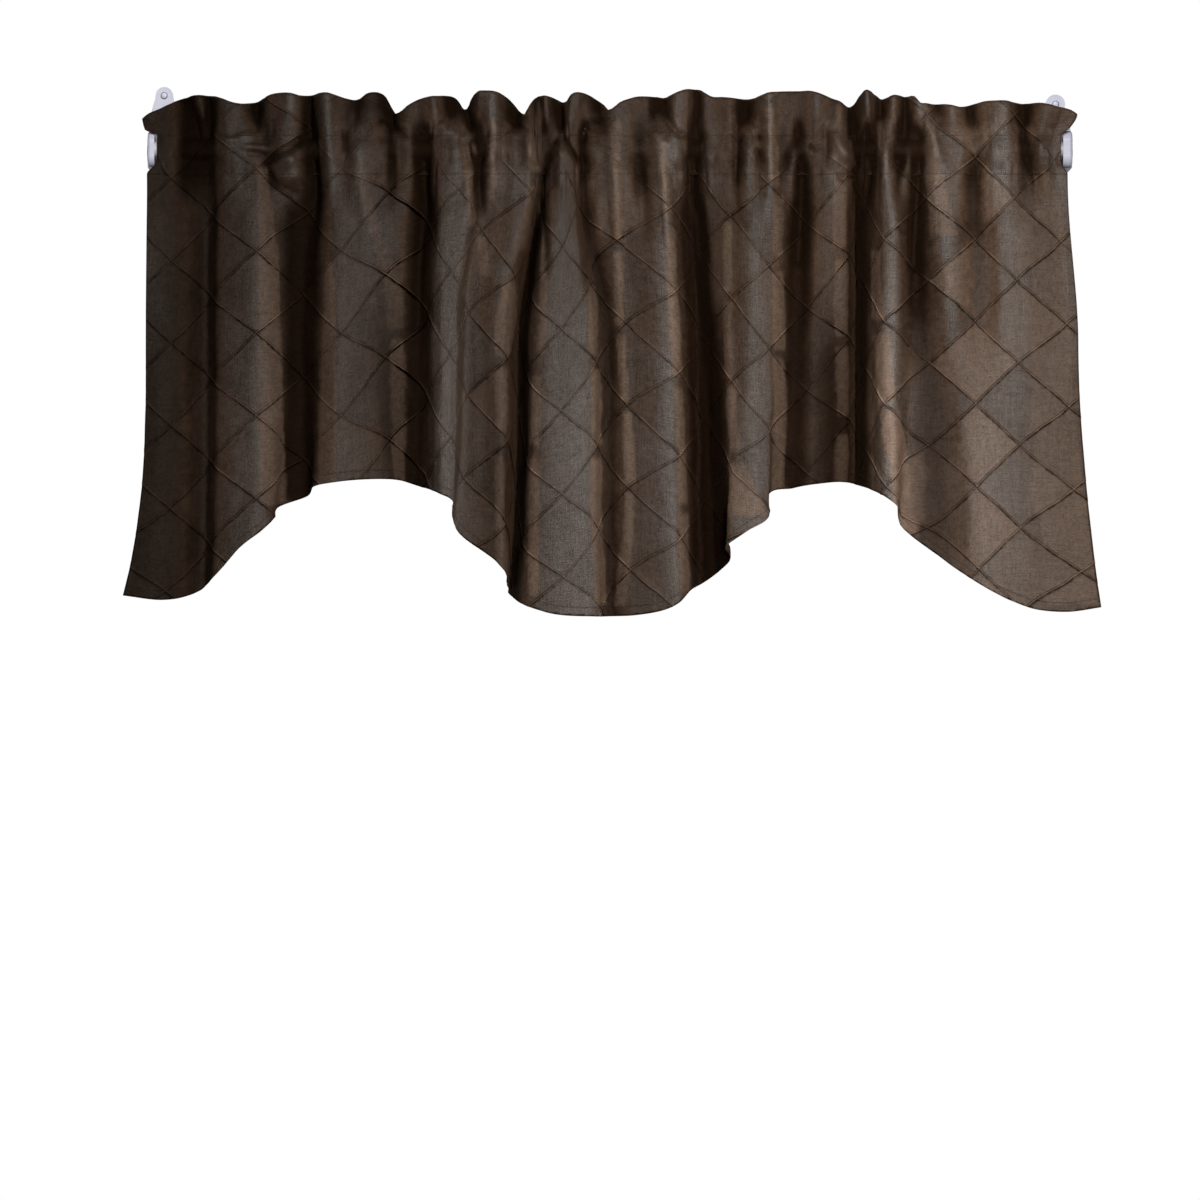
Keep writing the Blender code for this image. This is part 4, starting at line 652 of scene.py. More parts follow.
# --------------------------------------------------- detail laid on that form
def crease_field(station, level):
    """How far the listed creases bring each point forward."""
    total = np.zeros_like(station)
    for proud_by, left, right, taper_in, taper_out, line in CREASES:
        pts = np.array(line, float)
        at = np.concatenate([[0.0], np.cumsum(np.linalg.norm(np.diff(pts, axis=0), axis=1))])
        path = Track(at, pts, pull=1.0)(np.linspace(0.0, at[-1], 4 * len(pts)))
        if not taper_in:
            path = np.concatenate([path[:1] + (path[:1] - path[1:2]) * 3.0, path])
        if not taper_out:
            path = np.concatenate([path, path[-1:] + (path[-1:] - path[-2:-1]) * 3.0])
        reach = 2.6 * max(left, right)
        near = ((station > path[:, 0].min() - reach) & (station < path[:, 0].max() + reach)
                & (level > path[:, 1].min() - reach) & (level < path[:, 1].max() + reach))
        if not near.any():
            continue
        px, py = station[near], level[near]
        best = np.full(px.shape, 1e9)
        side, share = np.zeros_like(best), np.zeros_like(best)
        n = len(path) - 1
        for k in range(n):
            (x0, y0), (x1, y1) = path[k], path[k + 1]
            dx, dy = x1 - x0, y1 - y0
            t = np.clip(((px - x0) * dx + (py - y0) * dy) / (dx * dx + dy * dy + 1e-9), 0.0, 1.0)
            d = np.hypot(px - x0 - t * dx, py - y0 - t * dy)
            closer = d < best
            best = np.where(closer, d, best)
            side = np.where(closer, dx * (py - y0) - dy * (px - x0), side)
            share = np.where(closer, (k + t) / n, share)
        width = np.where(side > 0.0, left, right)
        form = np.exp(-(best / width) ** 2)
        if taper_in:
            form = form * smooth(share / 0.3)
        if taper_out:
            form = form * smooth((1.0 - share) / 0.3)
        total[near] += CREASE_DEEP * proud_by * form
    return total


rng = np.random.RandomState(11)
puff = rng.uniform(0.65, 1.35, (64, 64))
tilt_u = rng.uniform(-1.0, 1.0, (64, 64))
tilt_v = rng.uniform(-1.0, 1.0, (64, 64))


def tuck_profile(mm):
    """A tuck pressed downwards: it rises slowly from above and drops below."""
    return np.interp(mm, (-4.5, -2.0, 0.0, 2.0, 4.5), (0.0, 0.35, 1.0, -0.3, 0.0))


def painted_streaks(station, level):
    """How strongly each point shows a painted sheen streak, and how far that real pressed edge stands out."""
    seen, proud = np.zeros_like(station), np.zeros_like(station)
    ragged = 0.9 * value_noise(station / 2.6 + 5.0, level / 5.0, 71) + 0.9 * value_noise(station / 7.0, level / 17.0 + 9.0, 72)
    for strength, proud_by, line in PAINTED_STREAKS:
        line = np.array(line, float)
        start, stop = line[0, 1], line[-1, 1]
        middle = np.interp(level, line[:, 1], line[:, 0])
        half = np.interp(level, line[:, 1], line[:, 2])
        off = np.abs(station - middle + ragged * 0.7)
        form = smooth((half + 1.2 - off) / 2.8) * smooth((level - start + 3.0) / 6.0) * smooth((stop + 3.0 - level) / 6.0)
        core = np.exp(-((station - middle) / (half + 1.0)) ** 2) * smooth((level - start + 8.0) / 16.0) * smooth((stop + 8.0 - level) / 16.0)
        seen = np.maximum(seen, strength * form)
        proud = np.maximum(proud, proud_by * core)
    return seen, proud


def painted_diamond_light(station, u, v):
    """How strongly each point shows the painted highlight of a lit diamond."""
    a, b = (v + u) / 2.0, (v - u) / 2.0
    inside = smooth(np.minimum(np.abs(a - np.round(a)), np.abs(b - np.round(b))) / 0.045)
    column, row = np.floor(a) - np.floor(b), np.floor(a) + np.floor(b) + 1.0
    ragged = 3.0 * value_noise(u * 9.0 + 4.0, v * 7.0, 83) + 3.0 * value_noise(u * 2.7, v * 2.1 + 5.0, 84)
    seen = np.zeros_like(station)
    for strength, at_column, at_row, start, stop in PAINTED_LIT_DIAMONDS:
        here = (column == at_column) & (row == at_row)
        form = smooth((station + ragged - start + 5.0) / 10.0) * smooth((stop + 5.0 - station - ragged) / 10.0)
        seen = np.where(here, strength * form * mix(0.5, 1.0, inside), seen)
    return seen


def quilting(u, v):
    """Height of the tucks and of the puffed diamonds between them."""
    a, b = (v + u) / 2.0, (v - u) / 2.0
    da, db = a - np.round(a), b - np.round(b)
    per = 2.0 * math.hypot(1.0 / LATTICE_WIDE, 1.0 / LATTICE_HIGH) ** -1
    tucks = np.maximum(tuck_profile(da * per), tuck_profile(db * per))
    low = np.minimum(tuck_profile(da * per), tuck_profile(db * per))
    tucks = np.where(tucks > 0.0, tucks, low) * TUCK_HIGH
    ia, ib = np.floor(a).astype(int) % 64, np.floor(b).astype(int) % 64
    fa, fb = np.abs(da) * 2.0, np.abs(db) * 2.0
    swell = ((2.0 * fa - fa * fa) * (2.0 * fb - fb * fb)) ** 0.8
    ca, cb = a - np.floor(a) - 0.5, b - np.floor(b) - 0.5
    lean = swell * (tilt_u[ia, ib] * (ca - cb) + tilt_v[ia, ib] * (ca + cb)) * 1.6
    return tucks + PILLOW * puff[ia, ib] * swell + lean


def crumple(u, v):
    """Small uneven wrinkles of crisp cloth, in flat millimetres."""
    x, y = u * LATTICE_WIDE, v * LATTICE_HIGH
    out = 0.50 * value_noise(x / 13.0 + 7.3, y / 46.0 + 11.0, 3)
    out += 0.22 * value_noise((x + y * 0.5) / 9.0 + 40.0, (y - x * 0.4) / 17.0 + 23.0, 5)
    out += 0.06 * value_noise(x / 5.0 + 3.0, y / 8.0 + 9.0, 8)
    return out


def gathers(u, off_seam, seed, reach, high):
    """Small puckers that run out from a gathered seam."""
    x = u * LATTICE_WIDE
    lines = (value_noise(x / 6.5 + seed, off_seam / 60.0 + seed, seed)
             + 0.7 * value_noise(x / 3.8 + 2.0 * seed, off_seam / 30.0, seed + 1))
    return high * lines * np.exp(-np.abs(off_seam) / reach)


# the front run as one grid: header, pocket, skirt
front = np.concatenate([header, pocket[:, 1:], skirt_points(skirt_level)], axis=1)
n_rows = front.shape[1]
seam_row, low_row = HEADER_ROWS - 1, HEADER_ROWS - 1 + POCKET_ROWS
level = ROD_LEVEL - front[:, :, 2]
u_grid = np.repeat(col_u[:, None], n_rows, axis=1)
v_grid = (level - LATTICE_LEVEL - shift[:, None]) / LATTICE_HIGH
seen_skirt, seen_above = tucks_seen(x_mid)[:, :1], tucks_seen(x_mid)[:, 1:]
run = np.concatenate([header[:, :, 2] * -1.0 + SEAM_TOP_Z,
                      np.repeat(np.linspace(0.0, 42.0, POCKET_ROWS + 1)[None, 1:], n_cols, axis=0),
                      42.0 + skirt_level - seam_level], axis=1)


def lay_detail(points, normal, u, v, lev, down):
    """The front's points with every crease, tuck, puff and wrinkle on them."""
    off_top, off_low = down, down - 42.0
    on_normal = quilting(u, v) * mix(seen_above * 0.8, mix(0.6, 1.0, seen_skirt), smooth((down - 25.0) / 40.0)) + crumple(u, v)
    broken = 0.5 + 0.5 * value_noise(u * 1.9, 0.0 * u + 3.0, 61)
    on_normal = on_normal - 0.16 * broken * np.exp(-(off_top / 2.4) ** 2) - 0.20 * broken * np.exp(-(off_low / 2.0) ** 2)
    on_normal = on_normal + gathers(u, off_top, 21, 11.0, 1.5) + gathers(u, off_low, 33, 13.0, 1.2)
    out = points + normal * on_normal[..., None]
    station = points[..., 0] + STATION_MID
    out[..., 1] -= crease_field(station, lev) + painted_streaks(station, lev)[1]
    return out


base_normal = facing(front)
creased = crease_field(front[:, :, 0] + STATION_MID, level)
# painted highlight along the sheen streaks
painted_sheen_seen = painted_streaks(front[:, :, 0] + STATION_MID, level)[0]
# and the painted highlight of the lit diamonds
painted_sheen_seen = np.maximum(painted_sheen_seen, painted_diamond_light(front[:, :, 0] + STATION_MID, u_grid, v_grid) * smooth((run + 20.0) / 20.0))
tuck_seen = mix(seen_above, seen_skirt, smooth((run - 25.0) / 40.0))
# painted shade, or painted brightening, across broad stretches
painted_dimming = mix(painted_shading(x_mid)[:, :1], painted_shading(x_mid)[:, 1:], smooth((run - 100.0) / 200.0))
front = lay_detail(front, base_normal, u_grid, v_grid, level, run)

hem_level = hem[:, None]
hem_row = skirt_points(hem_level)
row_at = np.array([np.interp(hem[c], level[c, low_row:], np.arange(low_row, n_rows)) for c in range(n_cols)])


def along(grid, c, at):
    k = min(int(at), n_rows - 2)
    return mix(grid[c, k], grid[c, k + 1], at - k)


hem_normal = np.array([along(base_normal, c, row_at[c]) for c in range(n_cols)])[:, None]
hem_u = col_u[:, None]
hem_v = (hem_level - LATTICE_LEVEL - shift[:, None]) / LATTICE_HIGH
hem_row = lay_detail(hem_row, hem_normal, hem_u, hem_v, hem_level, 42.0 + hem_level - seam_level)[:, 0]



def blur(grid, reach):
    """Mean over the columns on both sides, with a soft window."""
    weight = np.cos(np.linspace(-1.0, 1.0, 2 * reach + 3)[1:-1] * math.pi / 2.0) ** 2
    wide = np.pad(grid, ((reach, reach), (0, 0)), mode="edge")
    return sum(w * wide[i:i + grid.shape[0]] for i, w in enumerate(weight)) / weight.sum()


soft_y = blur(front[:, :, 1], 1)
behind_plane = smooth((soft_y - ROD_Y - SKIRT_Y + 1.0) / 14.0)
crest_plane = np.clip((ROD_Y + SKIRT_Y - soft_y - 3.0) / 10.0, 0.0, 1.0)
in_header = np.clip(-run / np.maximum(-run[:, :1], 1.0), 0.0, 1.0)     # 1 at the top edge, 0 at the seam
gathered = mix(pleat[:, None], ruffle(x_head + end_shift(0, x_head))[:, 1:], smooth(in_header * 1.2)) + creased
below = smooth((run - 40.0) / 45.0)
behind_plane = behind_plane * mix(0.55, 1.0, smooth((x_mid - 212.0) / 20.0))[:, None]   # less painted shade in the left trough
behind_plane = behind_plane * (1.0 - 0.42 * np.exp(-((x_mid - 518.0) / 17.0) ** 2))[:, None]   # and less in the middle one
# painted shade: the cloth's colour is darkened in the troughs, above the skirt by the folds' depth and in the skirt by
# how far it lies behind the plane
painted_pit_shade = mix(smooth((1.0 - gathered) / 8.0), behind_plane, below)
# painted highlight: crests that stand forward of the plane are given a lighter, greyer colour
crest = mix(smooth((gathered - 1.5) / 8.0), crest_plane, below)
# painted sheen: flanks at about 34 degrees of slope, outside the troughs, are given a copper colour
slope = np.degrees(np.arctan2(np.gradient(soft_y, axis=0), np.gradient(blur(front[:, :, 0], 1), axis=0)))
turn = np.exp(-((np.abs(slope) - 34.0) / 13.0) ** 2) * (1.0 - painted_pit_shade)
# painted grey sheen: these stretches take more of the crest highlight and lose the flank sheen
for strength, at, half, top, low in PAINTED_GREY_SHEEN:
    form = strength * np.exp(-((front[:, :, 0] + STATION_MID - at) / half) ** 2) * smooth((level - top) / 30.0) * smooth((low - level) / 30.0)
    crest, turn = crest + (1.0 - crest) * form, turn * (1.0 - form)

# the header's two layers, and the pocket clear of the rod
normal = facing(front)
from_top = (header[:, :1, 2] - header[:, :, 2])
half_gap = HEADER_GAP / 2.0 * np.sqrt(1.0 - (1.0 - np.clip(from_top / 2.2, 0.0, 1.0)) ** 2)
half_gap = half_gap * mix(1.0, 0.45, smooth((from_top / from_top[:, -1:] - 0.6) / 0.4))
middle = front[:, :HEADER_ROWS].copy()
front[:, :HEADER_ROWS] = middle + normal[:, :HEADER_ROWS] * half_gap[..., None]
pocket_rows = np.arange(seam_row + 1, n_rows)
lift = 0.5 * np.exp(-np.maximum(0.0, run[:, seam_row + 1:] - 42.0) / 8.0)
front[:, seam_row + 1:] += normal[:, seam_row + 1:] * lift[..., None]


def clear_of_rod(points, reach):
    """Moves points out of a tube round the rod's axis."""
    dy, dz = points[..., 1] - ROD_Y, points[..., 2]
    away = np.hypot(dy, dz)
    short = away < reach
    grow = np.where(short, reach / np.maximum(away, 1e-6), 1.0)
    points[..., 1] = ROD_Y + dy * grow
    points[..., 2] = dz * grow
    return int(short.sum())


# the pocket's front passes in front of the rod and never through it
pocket_front = front[:, seam_row:low_row + 1]
bound = ROD_Y - np.sqrt(np.maximum(0.0, (ROD_R + 1.2) ** 2 - pocket_front[..., 2] ** 2))
through = (np.abs(pocket_front[..., 2]) < ROD_R + 1.2) & (pocket_front[..., 1] > bound)
pocket_front[..., 1] = np.where(through, bound, pocket_front[..., 1])
moved = int(through.sum())

# the back run: header, then pocket, ending just behind the lower seam
pick = np.round(np.linspace(1, HEADER_ROWS - 1, BACK_HEADER_ROWS)).astype(int)
back_header = middle[:, pick] - normal[:, pick] * half_gap[:, pick, None]
back_run = pocket_back[:, 1:].copy()
back_u = np.repeat(col_u[:, None], BACK_POCKET_ROWS, axis=1)
back_arc = np.linspace(0.0, 42.0, BACK_POCKET_ROWS + 1)[None, 1:] + 0.0 * back_u
top_v = v_grid[:, :1]
back_v = np.concatenate([2.0 * top_v - v_grid[:, pick],
                         2.0 * top_v - v_grid[:, seam_row:seam_row + 1] - back_arc / LATTICE_HIGH], axis=1)
ripple = (quilting(back_u, back_v[:, BACK_HEADER_ROWS:]) * 0.5 + crumple(back_u + 9.0, back_v[:, BACK_HEADER_ROWS:])
          + gathers(back_u, back_arc, 45, 14.0, 2.0) + gathers(back_u, back_arc - 42.0, 51, 14.0, 1.6))
back_run[:, :, 1] += ripple
back_run[:, -1, 1] += 1.4
moved += clear_of_rod(back_run, ROD_R + 1.2)
back = np.concatenate([back_header, back_run], axis=1)
back_down = np.concatenate([run[:, pick], back_arc], axis=1)

# ------------------------------------------------------------ the cloth's mesh
points, lattice_uv, attr_run, attr_hem, attr_pit_shade, attr_flank_sheen, attr_crest_highlight = [], [], [], [], [], [], []
attr_painted_streak, attr_tuck, attr_painted_dim = [], [], []


def put(p, u, v, down, up_from_hem, pit_shade_fac=0.3, flank_sheen_fac=0.2, crest_highlight_fac=0.2, more=(0.0, 0.7, 0.0)):
    points.append(p)
    attr_painted_streak.append(more[0])
    attr_tuck.append(more[1])
    attr_painted_dim.append(more[2])
    attr_crest_highlight.append(crest_highlight_fac)
    attr_pit_shade.append(pit_shade_fac)
    attr_flank_sheen.append(flank_sheen_fac)
    lattice_uv.append((u, v))
    attr_run.append(down)
    attr_hem.append(up_from_hem)
    return len(points) - 1


front_id = -np.ones((n_cols, n_rows), int)
hem_id = np.zeros(n_cols, int)
last_row = np.zeros(n_cols, int)
for c in range(n_cols):
    last_row[c] = int(math.floor(row_at[c] - 0.45))
    for r in range(last_row[c] + 1):
        front_id[c, r] = put(front[c, r], col_u[c], v_grid[c, r], run[c, r], hem[c] - level[c, r], painted_pit_shade[c, r], turn[c, r],
                             crest[c, r], (painted_sheen_seen[c, r], tuck_seen[c, r], painted_dimming[c, r]))
    hem_id[c] = put(hem_row[c], col_u[c], hem_v[c, 0], 42.0 + hem[c] - seam_level, 0.0, along(painted_pit_shade, c, row_at[c]),
                    along(turn, c, row_at[c]), along(crest, c, row_at[c]),
                    tuple(along(grid, c, row_at[c]) for grid in (painted_sheen_seen, tuck_seen, painted_dimming)))

faces = []
for c in range(n_cols - 1):
    m = min(last_row[c], last_row[c + 1])
    for r in range(m):
        faces.append((front_id[c, r], front_id[c, r + 1], front_id[c + 1, r + 1], front_id[c + 1, r]))
    # between the last shared row and the hem, as a fan from the shorter side
    left = [front_id[c, r] for r in range(m, last_row[c] + 1)] + [hem_id[c]]
    right = [front_id[c + 1, r] for r in range(m, last_row[c + 1] + 1)] + [hem_id[c + 1]]
    i = k = 0
    while i < len(left) - 1 or k < len(right) - 1:
        step_left = k == len(right) - 1 or (i < len(left) - 1 and (i + 1) * (len(right) - 1) <= (k + 1) * (len(left) - 1))
        if step_left:
            faces.append((left[i], left[i + 1], right[k]))
            i += 1
        else:
            faces.append((left[i], right[k + 1], right[k]))
            k += 1

# the hem, turned up behind
turn_ids = [hem_id]
for up in HEM_TURN:
    ids = np.zeros(n_cols, int)
    for c in range(n_cols):
        at = np.interp(hem[c] - up, level[c, low_row:], np.arange(low_row, n_rows))
        p = along(front, c, at) - along(normal, c, at) * HEM_BACK
        ids[c] = put(p, col_u[c], hem_v[c, 0] + up / LATTICE_HIGH, 42.0 + hem[c] - seam_level + up, -up)
    turn_ids.append(ids)
for a, b in zip(turn_ids[:-1], turn_ids[1:]):
    for c in range(n_cols - 1):
        faces.append((a[c], b[c], b[c + 1], a[c + 1]))

# the side edges, turned in behind
for edge_col, cols, way in ((0, (1, 2, 3), 1), (n_cols - 1, (n_cols - 2, n_cols - 3, n_cols - 4), -1)):
    stop = min(last_row[edge_col], min(last_row[c] for c in cols))
    before = [front_id[edge_col, r] for r in range(stop + 1)]
    for c in cols:
        ids = [put(front[c, r] - normal[c, r] * (1.6 if r > low_row else 0.9), 2.0 * col_u[edge_col] - col_u[c],
                   v_grid[c, r], run[c, r], hem[c] - level[c, r]) for r in range(stop + 1)]
        for r in range(stop):
            quad = (before[r], ids[r], ids[r + 1], before[r + 1])
            faces.append(quad if way > 0 else quad[::-1])
        before = ids

# over the top edge and down the back
before = front_id[:, 0]
for r in range(back.shape[1]):
    ids = np.array([put(back[c, r], col_u[c], back_v[c, r], back_down[c, r] * -1.0 - 200.0, 300.0) for c in range(n_cols)])
    for c in range(n_cols - 1):
        faces.append((before[c], before[c + 1], ids[c + 1], ids[c]))
    before = ids

mesh = bpy.data.meshes.new("valance_taffeta")
mesh.from_pydata([tuple(p * MM) for p in points], [], [tuple(int(i) for i in f) for f in faces])
mesh.validate()
uv = mesh.uv_layers.new(name="lattice")
loop_vertex = np.zeros(len(mesh.loops), np.int32)
mesh.loops.foreach_get("vertex_index", loop_vertex)
uv.data.foreach_set("uv", np.array(lattice_uv, np.float32)[loop_vertex].ravel())
for name, values in (("run", attr_run), ("hem", attr_hem), ("painted_pit_shade", attr_pit_shade), ("turn", attr_flank_sheen), ("crest", attr_crest_highlight),
                     ("streak", attr_painted_streak), ("tuck", attr_tuck), ("painted_dim", attr_painted_dim)):
    layer = mesh.attributes.new(name, "FLOAT", "POINT")
    layer.data.foreach_set("value", np.array(values, np.float32))
mesh.shade_smooth()
cloth = bpy.data.objects.new("valance_taffeta", mesh)
bpy.context.scene.collection.objects.link(cloth)
triangles = sum(len(f) - 2 for f in faces)
print("cloth triangles", triangles, "moved off the rod", moved)


# ------------------------------------------------------------------ materials
class Graph:
    """A short way to write a material's nodes."""

    def __init__(self, name):
        self.material = bpy.data.materials.new(name)
        self.material.use_nodes = True
        self.tree = self.material.node_tree
        self.tree.nodes.clear()
        self.shader = self.add("ShaderNodeBsdfPrincipled")
        out = self.add("ShaderNodeOutputMaterial")
        self.tree.links.new(self.shader.outputs["BSDF"], out.inputs["Surface"])

    def add(self, kind, **settings):
        node = self.tree.nodes.new(kind)
        for key, value in settings.items():
            setattr(node, key, value)
        return node

    def plug(self, socket, value):
        if isinstance(value, bpy.types.NodeSocket):
            self.tree.links.new(value, socket)
        elif value is not None:
            socket.default_value = value

    def math(self, operation, a, b=None, c=None, clamp=False):
        node = self.add("ShaderNodeMath", operation=operation, use_clamp=clamp)
        for socket, value in zip(node.inputs, (a, b, c)):
            self.plug(socket, value)
        return node.outputs[0]

    def blend(self, share, a, b, kind="MIX"):
        node = self.add("ShaderNodeMix", data_type="RGBA", blend_type=kind)
        self.plug(node.inputs[0], share)
        for socket, value in zip((node.inputs[6], node.inputs[7]), (a, b)):
            self.plug(socket, (*value, 1.0) if isinstance(value, tuple) and len(value) == 3 else value)
        return node.outputs[2]

    def fit(self, value, lo, hi, out_lo, out_hi, soft=True):
        node = self.add("ShaderNodeMapRange", interpolation_type="SMOOTHSTEP" if soft else "LINEAR")
        self.plug(node.inputs["Value"], value)
        for key, number in (("From Min", lo), ("From Max", hi), ("To Min", out_lo), ("To Max", out_hi)):
            node.inputs[key].default_value = number
        return node.outputs["Result"]

    def vector(self, x, y, z=0.0):
        node = self.add("ShaderNodeCombineXYZ")
        for socket, value in zip(node.inputs, (x, y, z)):
            self.plug(socket, value)
        return node.outputs[0]

    def noise(self, vector, scale, detail=2.0, rough=0.5, distort=0.0):
        node = self.add("ShaderNodeTexNoise", noise_dimensions="3D")
        self.plug(node.inputs["Vector"], vector)
        for key, number in (("Scale", scale), ("Detail", detail), ("Roughness", rough), ("Distortion", distort)):
            node.inputs[key].default_value = number
        return node.outputs["Fac"]

    def scatter(self, vector):
        node = self.add("ShaderNodeTexWhiteNoise", noise_dimensions="3D")
        self.plug(node.inputs["Vector"], vector)
        return node.outputs["Value"]

    def bump(self, height, distance, strength=1.0, before=None):
        node = self.add("ShaderNodeBump")
        self.plug(node.inputs["Height"], height)
        node.inputs["Distance"].default_value = distance
        node.inputs["Strength"].default_value = strength
        if before is not None:
            self.plug(node.inputs["Normal"], before)
        return node.outputs["Normal"]

    def finish(self, **sockets):
        for key, value in sockets.items():
            self.plug(self.shader.inputs[key.replace("_", " ")], value)
        return self.material


def taffeta():
    g = Graph("shot_taffeta")
    source = g.add("ShaderNodeUVMap", uv_map="lattice")
    split = g.add("ShaderNodeSeparateXYZ")
    g.plug(split.inputs[0], source.outputs["UV"])
    u, v = split.outputs[0], split.outputs[1]
    run_node = g.add("ShaderNodeAttribute", attribute_name="run")
    hem_node = g.add("ShaderNodeAttribute", attribute_name="hem")
    down, up = run_node.outputs["Fac"], hem_node.outputs["Fac"]
    pit_shade_fac = g.add("ShaderNodeAttribute", attribute_name="painted_pit_shade").outputs["Fac"]
    flank_sheen_fac = g.add("ShaderNodeAttribute", attribute_name="turn").outputs["Fac"]
    crest_highlight_fac = g.add("ShaderNodeAttribute", attribute_name="crest").outputs["Fac"]
    streak = g.add("ShaderNodeAttribute", attribute_name="streak").outputs["Fac"]
    tuck_shows = g.add("ShaderNodeAttribute", attribute_name="tuck").outputs["Fac"]
    painted_dim = g.add("ShaderNodeAttribute", attribute_name="painted_dim").outputs["Fac"]
    x_mm, y_mm = g.math("MULTIPLY", u, LATTICE_WIDE), g.math("MULTIPLY", v, LATTICE_HIGH)
    flat = g.vector(x_mm, y_mm)

    # the two families of tucks: signed distance to the nearest, in mm
    per = 2.0 / math.hypot(1.0 / LATTICE_WIDE, 1.0 / LATTICE_HIGH)
    wave = g.math("MULTIPLY", g.math("SUBTRACT", g.noise(flat, 0.05, 1.0), 0.5), 0.03)
    heights, shadows, lights = [], [], []
    for operation in ("ADD", "SUBTRACT"):
        a = g.math("ADD", g.math("MULTIPLY", g.math(operation, v, u), 0.5), wave)
        d = g.math("MULTIPLY", g.math("SUBTRACT", g.math("FRACT", g.math("ADD", a, 0.5)), 0.5), per)
        rise = g.math("MULTIPLY", g.fit(d, -2.0, -0.1, 0.0, 1.0), g.fit(d, 0.0, 0.6, 1.0, 0.0))
        heights.append(rise)
        # the painted shadow below a tuck and the painted highlight above it both come and go along it
        comes = g.noise(g.vector(g.math("MULTIPLY", x_mm, 0.055), g.math("MULTIPLY", y_mm, 0.055), 7.0 + 20.0 * len(heights)), 1.0, 2.0, 0.6)
        dark = g.math("MULTIPLY", g.fit(d, -0.1, 0.4, 0.0, 1.0), g.fit(d, 0.9, 3.0, 1.0, 0.0))
        bright = g.math("MULTIPLY", g.fit(d, -1.5, -0.6, 0.0, 1.0), g.fit(d, -0.4, 0.1, 1.0, 0.0))
        shadows.append(g.math("MULTIPLY", dark, g.fit(comes, 0.34, 0.56, 0.30, 1.0)))
        lights.append(g.math("MULTIPLY", bright, g.fit(comes, 0.46, 0.66, 1.0, 0.15)))
    tuck = g.math("MULTIPLY", g.math("MAXIMUM", heights[0], heights[1]), tuck_shows)
    shadow = g.math("MULTIPLY", g.math("MAXIMUM", shadows[0], shadows[1]), tuck_shows)
    light = g.math("MULTIPLY", g.math("MAXIMUM", lights[0], lights[1]), tuck_shows)

    # each diamond's tone and gloss differ a little at random
    ia = g.math("FLOOR", g.math("MULTIPLY", g.math("ADD", v, u), 0.5))
    ib = g.math("FLOOR", g.math("MULTIPLY", g.math("SUBTRACT", v, u), 0.5))
    cell = g.scatter(g.vector(ia, ib, 3.0))
    cell_two = g.scatter(g.vector(ia, ib, 9.0))

    mottle = g.noise(flat, 0.045, 3.0, 0.6)
    blotch = g.noise(flat, 0.16, 3.0, 0.65, 0.6)
    slub_map = g.vector(g.math("MULTIPLY", x_mm, 0.035), g.math("MULTIPLY", y_mm, 1.1))
    slub = g.noise(slub_map, 1.0, 2.0, 0.6)
    warp_map = g.vector(g.math("MULTIPLY", x_mm, 1.4), g.math("MULTIPLY", y_mm, 0.03))
    warp = g.noise(warp_map, 1.0, 2.0, 0.6)
    grain = g.noise(g.vector(g.math("MULTIPLY", x_mm, 0.28), g.math("MULTIPLY", y_mm, 0.75)), 1.0, 2.0, 0.7)

    base = g.blend(g.fit(mottle, 0.3, 0.7, 0.0, 1.0), TAFFETA_DARK, TAFFETA_LIGHT)
    # copper tone that differs at random per diamond, plus the painted copper sheen on the flanks
    copper = g.math("ADD", g.fit(cell, 0.0, 1.0, 0.0, 0.18, False), g.math("MULTIPLY", flank_sheen_fac, TAFFETA_FLANK_SHEEN), clamp=True)
    base = g.blend(copper, base, TAFFETA_COPPER_TONE_AND_SHEEN)
    # painted highlight: a lighter, greyer colour on the crests
    base = g.blend(g.math("MULTIPLY", crest_highlight_fac, g.fit(cell_two, 0.0, 1.0, 0.55, 0.95, False)), base, TAFFETA_CREST_HIGHLIGHT)
    # painted shade: the colour goes to near black in the troughs
    base = g.blend(g.math("MULTIPLY", pit_shade_fac, TAFFETA_TROUGH_SHADE_AMOUNT), base, TAFFETA_TROUGH_SHADE)
    # painted highlight: the copper sheen streaks
    crisp = g.math("MULTIPLY", streak, g.fit(streak, 0.04, 0.34, 0.50, 1.15))
    base = g.blend(g.math("MULTIPLY", crisp, g.fit(grain, 0.3, 0.7, 0.72, 1.0), clamp=True), base, TAFFETA_STREAK_HIGHLIGHT)
    value = g.math("ADD", g.fit(blotch, 0.3, 0.7, 0.84, 1.16), g.fit(cell_two, 0.0, 1.0, -0.14, 0.14, False))
    value = g.math("ADD", value, g.math("MULTIPLY", g.math("SUBTRACT", slub, 0.5), 0.34))
    value = g.math("ADD", value, g.math("MULTIPLY", g.math("SUBTRACT", warp, 0.5), 0.26))
    value = g.math("ADD", value, g.math("MULTIPLY", g.math("SUBTRACT", grain, 0.5), 0.55))
    # painted shadow below each tuck and painted highlight above it
    value = g.math("SUBTRACT", value, g.math("MULTIPLY", shadow, 0.78))
    value = g.math("ADD", value, g.math("MULTIPLY", light, 1.5))
    # painted shade: the colour is dimmed, or brightened where negative, stretch by stretch
    value = g.math("MULTIPLY", value, g.math("SUBTRACT", 1.0, g.math("MULTIPLY", painted_dim, 0.55)))
    tone = g.add("ShaderNodeHueSaturation")
    g.plug(tone.inputs["Color"], base)
    g.plug(tone.inputs["Value"], value)

